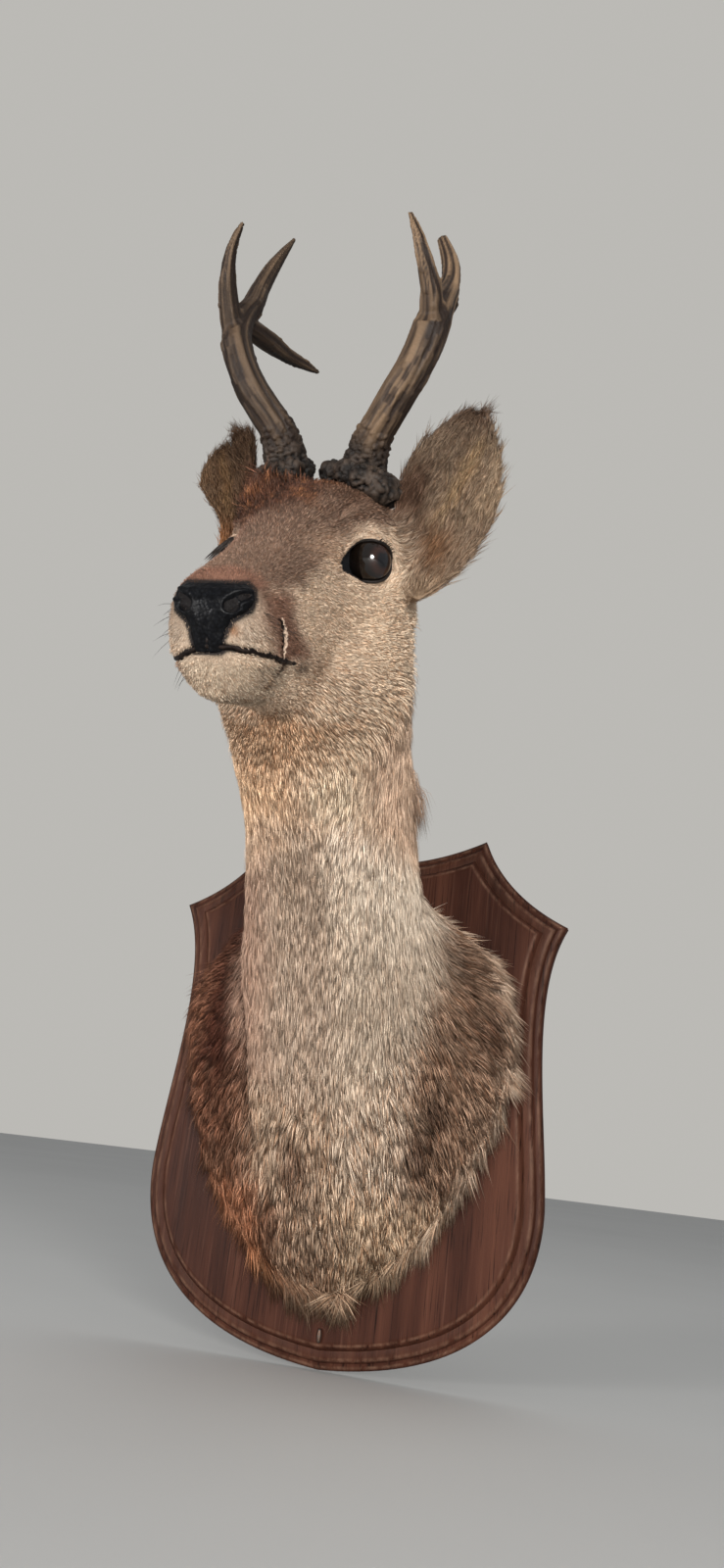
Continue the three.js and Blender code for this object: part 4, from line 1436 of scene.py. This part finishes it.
# Middle lines of each antler: the beam up to its top, the front tine and the rear tine.
ANTLERS = {
    "left": (
        ((-164, 21, 74), (-161, 25, 90), (-157, 31, 102), (-152, 43, 119), (-152, 54, 138), (-157, 60, 158),
         (-166, 62, 170), (-180, 64, 184), (-190, 62, 197), (-197, 58, 207), (-202, 54, 215)),
        ((-157, 59, 156), (-151, 60, 172), (-146, 57, 187), (-145, 53, 200), (-147, 48, 211.5)),
        ((-178, 63, 180), (-192, 62, 180), (-207, 57, 178), (-220, 51, 176), (-231, 46, 175)),
    ),
    "right": (
        ((-164, -21, 75), (-161, -24, 91), (-157, -27, 103), (-152, -39, 121), (-151, -47, 137), (-154, -52, 153),
         (-163, -52, 166), (-174, -50, 176), (-185, -50, 188), (-200, -46, 207), (-214, -40, 224)),
        ((-156, -54, 154), (-151, -55.5, 171), (-147, -55, 186), (-146, -52, 200), (-148, -47, 212)),
        ((-168, -51, 163), (-185, -46, 159.5), (-202, -41, 155.5), (-216, -34, 152.5), (-230, -28, 150)),
    ),
}
ANTLER_PARTS = ("burr", "beam", "front_tine", "top", "rear_tine")
PEARLS = {"left": 900, "right": 800}
ANTLER_VOXEL = 0.75 * MM
BONE_TAN, BONE_DARK = np.array((0.080, 0.052, 0.032)), np.array((0.017, 0.0105, 0.0076))
BURR_PALE, BURR_DARK = np.array((0.060, 0.042, 0.031)), np.array((0.0065, 0.0050, 0.0042))
TINE_RUN = 90  # millimetres added along a tine, whose root is worn like the upper beam


def antler_course(head, lines):
    """How far along the antler each point is, and its place on a straightened one, for the ridges."""
    best = np.full(len(head), 99.0)
    straight = np.zeros((len(head), 3))
    run = np.zeros(len(head))
    for k, line in enumerate(lines):
        track = spline(line, 40)
        reach, along, near = line_distance(head, track)
        closer = reach < best
        best = np.where(closer, reach, best)
        length = np.linalg.norm(np.diff(track, axis=0), axis=1).sum()
        place = unit(head - near) * 9.5 + near * 0.045
        straight[closer] = place[closer]
        run[closer] = (along * length + (TINE_RUN if k else 0))[closer]
    return run, straight


def pearl_field(head, base, count):
    """Small round bumps, thick about the burr and few above."""
    odds = 0.02 + base**2
    seeds = RNG.choice(len(head), count, replace=False, p=odds / odds.sum())
    nearest, reach = nearest_seed(head[seeds], head)
    size = RNG.uniform(1.0, 2.3, count)[nearest]
    return np.sqrt(np.maximum(1 - (reach / size) ** 2, 0))


def bone_colour(side, head, run, straight, ridges, pearls, coarse):
    """Dark bone with its ridges worn tan, more so higher up, and a dark crust about the burr."""
    broad = value_noise(straight * 0.45, 2.3, 28)
    worn = ramp(ridges + 0.4 * broad, -0.2, 0.5)
    tan, dark = BONE_TAN, BONE_DARK
    if side == "right":
        tan, dark = tan * (0.64, 0.64, 0.66), dark * 0.9
    aged = (0.25 + 0.75 * ramp(run, 14, 42)) * (1 + 1.5 * ramp(run, 90, 140))
    aged = aged * (1 + 0.9 * ramp(broad, 0.1, 0.55) * (1 - ramp(run, 70, 120)))
    colour = dark + (tan - dark) * (worn * aged)[:, None]
    crust = BURR_DARK + (BURR_PALE - BURR_DARK) * (0.75 * pearls * ramp(coarse, -0.5, 0.5))[:, None]
    low = ramp(-run, -30, -14)[:, None]
    colour = colour * (1 - low) + crust * low
    return colour * (1 + 0.15 * value_noise(head, 9, 27))[:, None]


def build_antler(side):
    names = tuple(f"antler_{side}_{part}" for part in ANTLER_PARTS)
    mesh = voxel_remesh(joined(names, 0.3 * MM), ANTLER_VOXEL)
    web = Web(mesh)
    points = web.relax(get_points(mesh), 14, np.ones(web.count))
    set_points(mesh, points)
    head = to_head(points)
    run, straight = antler_course(head, ANTLERS[side])
    ridges = value_noise(straight, 2.4, 21) * 0.62 + value_noise(straight, 1.15, 22) * 0.38
    move = 1.15 * (1 - 0.8 * ramp(run, 110, 190)) * ridges
    base = ramp(-run, -46, -10)
    pearls = pearl_field(head, base, PEARLS[side])
    move += pearls * (0.5 + 1.3 * base)
    coarse = value_noise(head, 5.5, 24) * 0.6 + value_noise(head, 2.6, 25) * 0.4
    move += base * 1.3 * coarse
    if side == "left":
        move += 4.5 * spot(head, (-156, 40, 64), (9, 9, 9))  # crust reaching down to the ear
    set_points(mesh, points + get_normals(mesh) * (move * MM)[:, None])
    paint(mesh, "bone_colour", bone_colour(side, head, run, straight, ridges, pearls, coarse))
    finish_piece(add_object("antler_" + side, mesh), LOOKS["antler"], names)


# ---------- nose ----------


NOSE_VOXEL = 0.62 * MM
NOSTRIL = np.array(((2, 11.0, 3.5), (2, 12.5, 5.5), (0, 15.5, 7.5), (-4, 18.0, 8.0)))


def build_nose():
    mesh = voxel_remesh(mesh_from(node_copy("nose_pad", 0.25 * MM), "nose_source"), NOSE_VOXEL)
    web = Web(mesh)
    points = web.relax(get_points(mesh), 16, np.ones(web.count))
    set_points(mesh, points)
    normals = get_normals(mesh)
    head = to_head(points)
    x, y, z = head.T
    front = ramp(x, -8, -3)
    move = -0.9 * bell(y, 0.9) * ramp(-z, 2, 6) * front
    for side in (1, -1):
        reach, along, _ = line_distance(head, spline(NOSTRIL * (1, side, 1), 20))
        width = 3.0 - 1.5 * along
        move -= (4.6 - 2.6 * along) * bell(reach, width) * ramp(x, -10, -6)
        rim = bell(reach - 4.0 + 1.2 * along, 1.3)
        move += 0.55 * rim * front
    move += 0.07 * value_noise(head, 1.5, 31) + 0.3 * value_noise(head, 4.5, 32)
    points = points + normals * (move * MM)[:, None]
    set_points(mesh, points)
    finish_piece(add_object("nose_leather", mesh), LOOKS["nose"], ("nose_pad",))


# ---------- small pieces of the head ----------


def snap(tree, places, height):
    """The nearest places on the skin, raised by a height, and the normals there."""
    found = [tree.find_nearest(p) for p in places.tolist()]
    normals = np.array([f[1] for f in found])
    return np.array([f[0] for f in found]) + normals * height, normals


def to_ends(count):
    """How many steps each point of a line is from its nearer end."""
    steps = np.arange(count)
    return np.minimum(steps, steps[::-1]).astype(float)


def build_mouth(tree):
    line = np.vstack((spline(MOUTH_FAR, 30)[::-1], spline(MOUTH, 60)[1:]))
    world, _ = snap(tree, from_head(line), 0.1 * MM)
    for _ in range(2):
        world[1:-1] = (world[:-2] + 2 * world[1:-1] + world[2:]) / 4
    radii = (0.5 + 0.95 * ramp(to_ends(len(world)), 0, 14)) * (1 + 0.5 * value_noise(world / MM, 1.6, 41))
    finish_piece(tube("mouth_line", world, radii * MM), LOOKS["lip"])


def build_split(tree):
    """The dry seam in the upper lip: a pale flap with a dark gap on its nose side."""
    for name, ahead, width, look in (("split_edge", 0.0, 0.6, "dry_hide"), ("split_gap", 1.9, 0.75, "lip")):
        line = spline(SPLIT, 24) + (ahead, 0, 0)
        world, _ = snap(tree, from_head(line), (0.75 - 0.22 * ahead) * MM)
        rough = value_noise(world / MM, 1.5, 42 + ahead)
        radii = (0.25 + width * ramp(to_ends(24), 0, 9)) * (1 + 0.35 * rough)
        finish_piece(tube(name, world, radii * MM), LOOKS[look])


def spikes(name, roots, tips, bow, radius):
    """Stiff hairs, each a thin closed cone with a bend."""
    bm = bmesh.new()
    for root, tip in zip(roots, tips):
        along = unit(tip - root)
        side = unit(np.cross(along, (0.3, 0.2, 0.93)))
        middle = (root + tip) / 2 + bow
        low, high = (
            ring_of(bm, centre, size, side, along, HAIR_TURNS)
            for centre, size in ((root, radius), (middle, radius * 0.7))
        )
        top = bm.verts.new(tip)
        for k in range(3):
            bm.faces.new((low[k - 1], low[k], high[k], high[k - 1]))
            bm.faces.new((high[k - 1], high[k], top))
        bm.faces.new(low[::-1])
    finish_piece(add_object(name, outward(bm, name)), LOOKS["lash"])


# The left lid's short lashes and the right lid's long ones: how many, where they start and end
# along the lid, how low they grow, which way up they point, and their lengths and radius.
LASHES = {
    1: dict(count=16, start=-2.0, end=12.0, lowest=3.5, way_up=0.8, lengths=(2.5, 5.0), radius=0.24),
    -1: dict(count=70, start=-11.0, end=8.0, lowest=0, way_up=-7.4, lengths=(9.0, 18.0), radius=0.34),
}


def build_lashes(side, name):
    look = LASHES[side]
    line = opening_line(LID_POINTS)
    back, up = line.T
    upper = line[(up > look["lowest"]) & (back > look["start"]) & (back < look["end"])]
    picks = upper[np.linspace(0, len(upper) - 1, look["count"]).astype(int)]
    picks = picks + RNG.normal(0, 0.3, picks.shape)
    roots = np.c_[picks, rim_level((picks**2).sum(1), LID_RADIUS)]
    out = unit(np.c_[picks * 0.2 + (0, look["way_up"]), np.full(len(picks), 7.0)])
    reach = RNG.uniform(*look["lengths"], len(picks))[:, None]
    tips = roots + out * reach + np.array((-1.2, -1.0, 0)) * reach / 7
    bow = np.array((0, 0.6, 0)) @ EYE_AXES * (1, side, 1) @ HEAD_AXES * MM
    spikes(name, eye_world(roots, side), eye_world(tips, side), bow, look["radius"] * MM)


WHISKERS = 44
CHIN_WHISKERS = 13  # the last of them


def build_whiskers(tree):
    index = np.arange(WHISKERS)
    side = np.where(index % 2, 1, -1)
    x = RNG.uniform(-34, -6, WHISKERS)
    z = RNG.uniform(-14, 4, WHISKERS)
    z = np.where(index >= WHISKERS - CHIN_WHISKERS, RNG.uniform(-38, -26, WHISKERS), z)
    roots, normals = snap(tree, from_head(np.stack((x, side * 26.0, z), axis=1)), 0)
    lean = np.array((-0.55, 0, -0.45)) @ HEAD_AXES
    tips = []
    for root, normal in zip(roots, normals):
        long = RNG.uniform(7, 15) * MM
        tips.append(root + unit(normal * 0.8 + lean + RNG.normal(0, 0.12, 3)) * long)
    spikes("whiskers", roots, tips, np.array((0, 0, 0.6 * MM)), 0.14 * MM)


# ---------- build ----------

LOOKS = {
    "coat": coat_finish("deer_coat", 0),
    "skin": coat_finish("deer_skin", 0.0006),
    "antler": antler_finish(),
    "nose": nose_finish(),
    "glass": glass_finish(),
    "lid": hide_finish("lid_edge", (0.007, 0.0055, 0.005), (0.022, 0.017, 0.014), 1500.0, 0.0003, 0.15),
    "lip": hide_finish("lip_edge", (0.004, 0.003, 0.0028), (0.014, 0.009, 0.007), 700.0, 0.0004, 0.06),
    "dry_hide": hide_finish("dry_hide", (0.4, 0.27, 0.19), (0.68, 0.52, 0.4), 900.0, 0.0003),
    "lash": hide_finish("stiff_hair", (0.008, 0.006, 0.005), (0.03, 0.02, 0.015), 400.0, 0.0001),
}


def skin_colours(points, normals, weights, edge, lips, split, front, pad_reach):
    """The coat's markings, darker, with black lids, lips and nostrils."""
    head = to_head(points)
    holes = sum(spot(head, (0, 12.5 * side, 5), (8, 7, 7)) for side in (1, -1))
    colours = markings(points, normals, weights) * 0.72
    for colour, strength in (
        ((0.005, 0.005, 0.006), ramp(-edge, -0.6, 0.2)),
        ((0.008, 0.006, 0.005), 1.3 * bell(lips, 1.9)),
        ((0.03, 0.015, 0.01), bell(split - 1.8, 0.9) * (front > 0)),
        ((0.012, 0.009, 0.008), ramp(-pad_reach, -2.4, -1.2)),
        ((0.004, 0.003, 0.003), 1.6 * holes * (pad_reach < 6)),
    ):
        colours = tint(colours, colour, strength)
    return colours


def build_skin():
    """The skin, its coat, and the small pieces that lie on it."""
    mesh, weights, edge, lips, split, front = build_skin_mesh()
    points, normals = get_points(mesh), get_normals(mesh)
    web = Web(mesh)
    weights = web.mean(web.mean(web.mean(weights)))
    pad_reach = np.array(distances("nose_pad", points)) / MM
    paint(mesh, "coat_colour", skin_colours(points, normals, weights, edge, lips, split, front, pad_reach))
    finish_piece(add_object("deer_skin", mesh), LOOKS["skin"], FLESH)
    lie = lie_of_coat(points, normals, weights, web)
    fields = coat_fields(points, normals, weights, pad_reach, edge, lips, split)
    tufts = grow_coat(mesh, weights, fields, lie, unwrap_skin(points, weights))
    shades = coat_colours(tufts)
    for name, chosen in split_coat(tufts).items():
        tuft_mesh(name, tufts, np.flatnonzero(chosen), shades)
    tree = BVHTree.FromPolygons(points.tolist(), triangles_of(mesh).tolist())
    build_mouth(tree)
    build_split(tree)
    build_whiskers(tree)


def build_staple():
    bm = node_copy("staple", 0)
    bmesh.ops.subdivide_edges(bm, edges=bm.edges[:], cuts=1, smooth=1.0, use_grid_fill=True)
    wire = add_object("staple_wire", mesh_from(bm, "staple_wire"))
    finish_piece(wire, iron_finish(), ("staple",))


# ---------- camera, floor and light ----------

CAMERA_PLACE = (0.1991845, -0.7410056, -0.0431125)
CAMERA_RIGHT = (0.9629709601557465, 0.24450513602823085, 0.11359651558272454)
CAMERA_UP = (-0.026981765619070296, -0.3318279181307267, 0.9429539846000468)
CAMERA_AHEAD = (-0.2682515875457169, 0.9111023384915902, 0.31294346865585565)
LENS = 25.65
SENSOR = 36
FLOOR_LEVEL, FLOOR_RADIUS = -0.1715, 7.0


def build_camera():
    data = bpy.data.cameras.new("camera")
    data.lens = LENS
    data.sensor_width = SENSOR
    data.sensor_fit = "AUTO"
    camera = bpy.data.objects.new("camera", data)
    turn = Matrix((CAMERA_RIGHT, CAMERA_UP, tuple(-c for c in CAMERA_AHEAD))).transposed()
    camera.matrix_world = Matrix.Translation(CAMERA_PLACE) @ turn.to_4x4()
    data.clip_start = 0.01
    bpy.context.scene.collection.objects.link(camera)
    bpy.context.scene.camera = camera


def build_stage():
    bm = bmesh.new()
    bmesh.ops.create_circle(bm, cap_ends=True, segments=96, radius=FLOOR_RADIUS)
    bmesh.ops.translate(bm, verts=bm.verts, vec=(0, 0, FLOOR_LEVEL))
    floor = add_object("floor", mesh_from(bm, "floor"))
    look = Finish("pale_floor", Roughness=0.75)
    look.colour(look.ramp(look.noise(2.0), [(0.3, (0.60, 0.60, 0.585)), (0.7, (0.63, 0.63, 0.615))]))
    floor.data.materials.append(look.material)
    world = bpy.data.worlds.new("studio")
    world.use_nodes = True
    tree = world.node_tree
    backing = tree.nodes["Background"]
    backing.inputs["Color"].default_value = (0.78, 0.79, 0.80, 1)
    backing.inputs["Strength"].default_value = 0.42
    wall = tree.nodes.new("ShaderNodeBackground")
    wall.inputs["Color"].default_value = (0.50, 0.49, 0.465, 1)
    path = tree.nodes.new("ShaderNodeLightPath")
    pick = tree.nodes.new("ShaderNodeMixShader")
    tree.links.new(path.outputs["Is Camera Ray"], pick.inputs[0])
    tree.links.new(backing.outputs[0], pick.inputs[1])
    tree.links.new(wall.outputs[0], pick.inputs[2])
    tree.links.new(pick.outputs[0], tree.nodes["World Output"].inputs["Surface"])
    bpy.context.scene.world = world


def add_light(name, place, aim, size, power, colour):
    data = bpy.data.lights.new(name, "AREA")
    data.shape = "DISK"
    data.size = size
    data.energy = power
    data.color = colour
    lamp = bpy.data.objects.new(name, data)
    way = Vector(aim) - Vector(place)
    lamp.matrix_world = Matrix.Translation(place) @ way.to_track_quat("-Z", "Y").to_matrix().to_4x4()
    bpy.context.scene.collection.objects.link(lamp)


# Name, place, aim, size in metres, power in watts and colour.
LIGHTS = (
    ("key", (1.05, -2.0, 0.14), (0, -0.15, 0.1), 0.62, 57, (1.0, 0.985, 0.96)),
    ("fill", (-1.25, -1.9, 0.06), (0, -0.15, 0.05), 0.5, 44, (1.0, 0.98, 0.97)),
    ("top", (0.3, 0.4, 2.4), (0, -0.1, 0.1), 1.4, 4, (1.0, 1.0, 1.0)),
)


build_camera()
build_stage()
for light in LIGHTS:
    add_light(*light)
build_board()
build_staple()
for side in ("left", "right"):
    build_antler(side)
build_nose()
for side, word in ((1, "left"), (-1, "right")):
    build_eye(side, "glass_eye_" + word, "eye_" + word)
    build_lid_rim(side, "lid_rim_" + word)
    build_lashes(side, "lashes_" + word)
build_skin()
bpy.context.scene.view_settings.view_transform = "Standard"
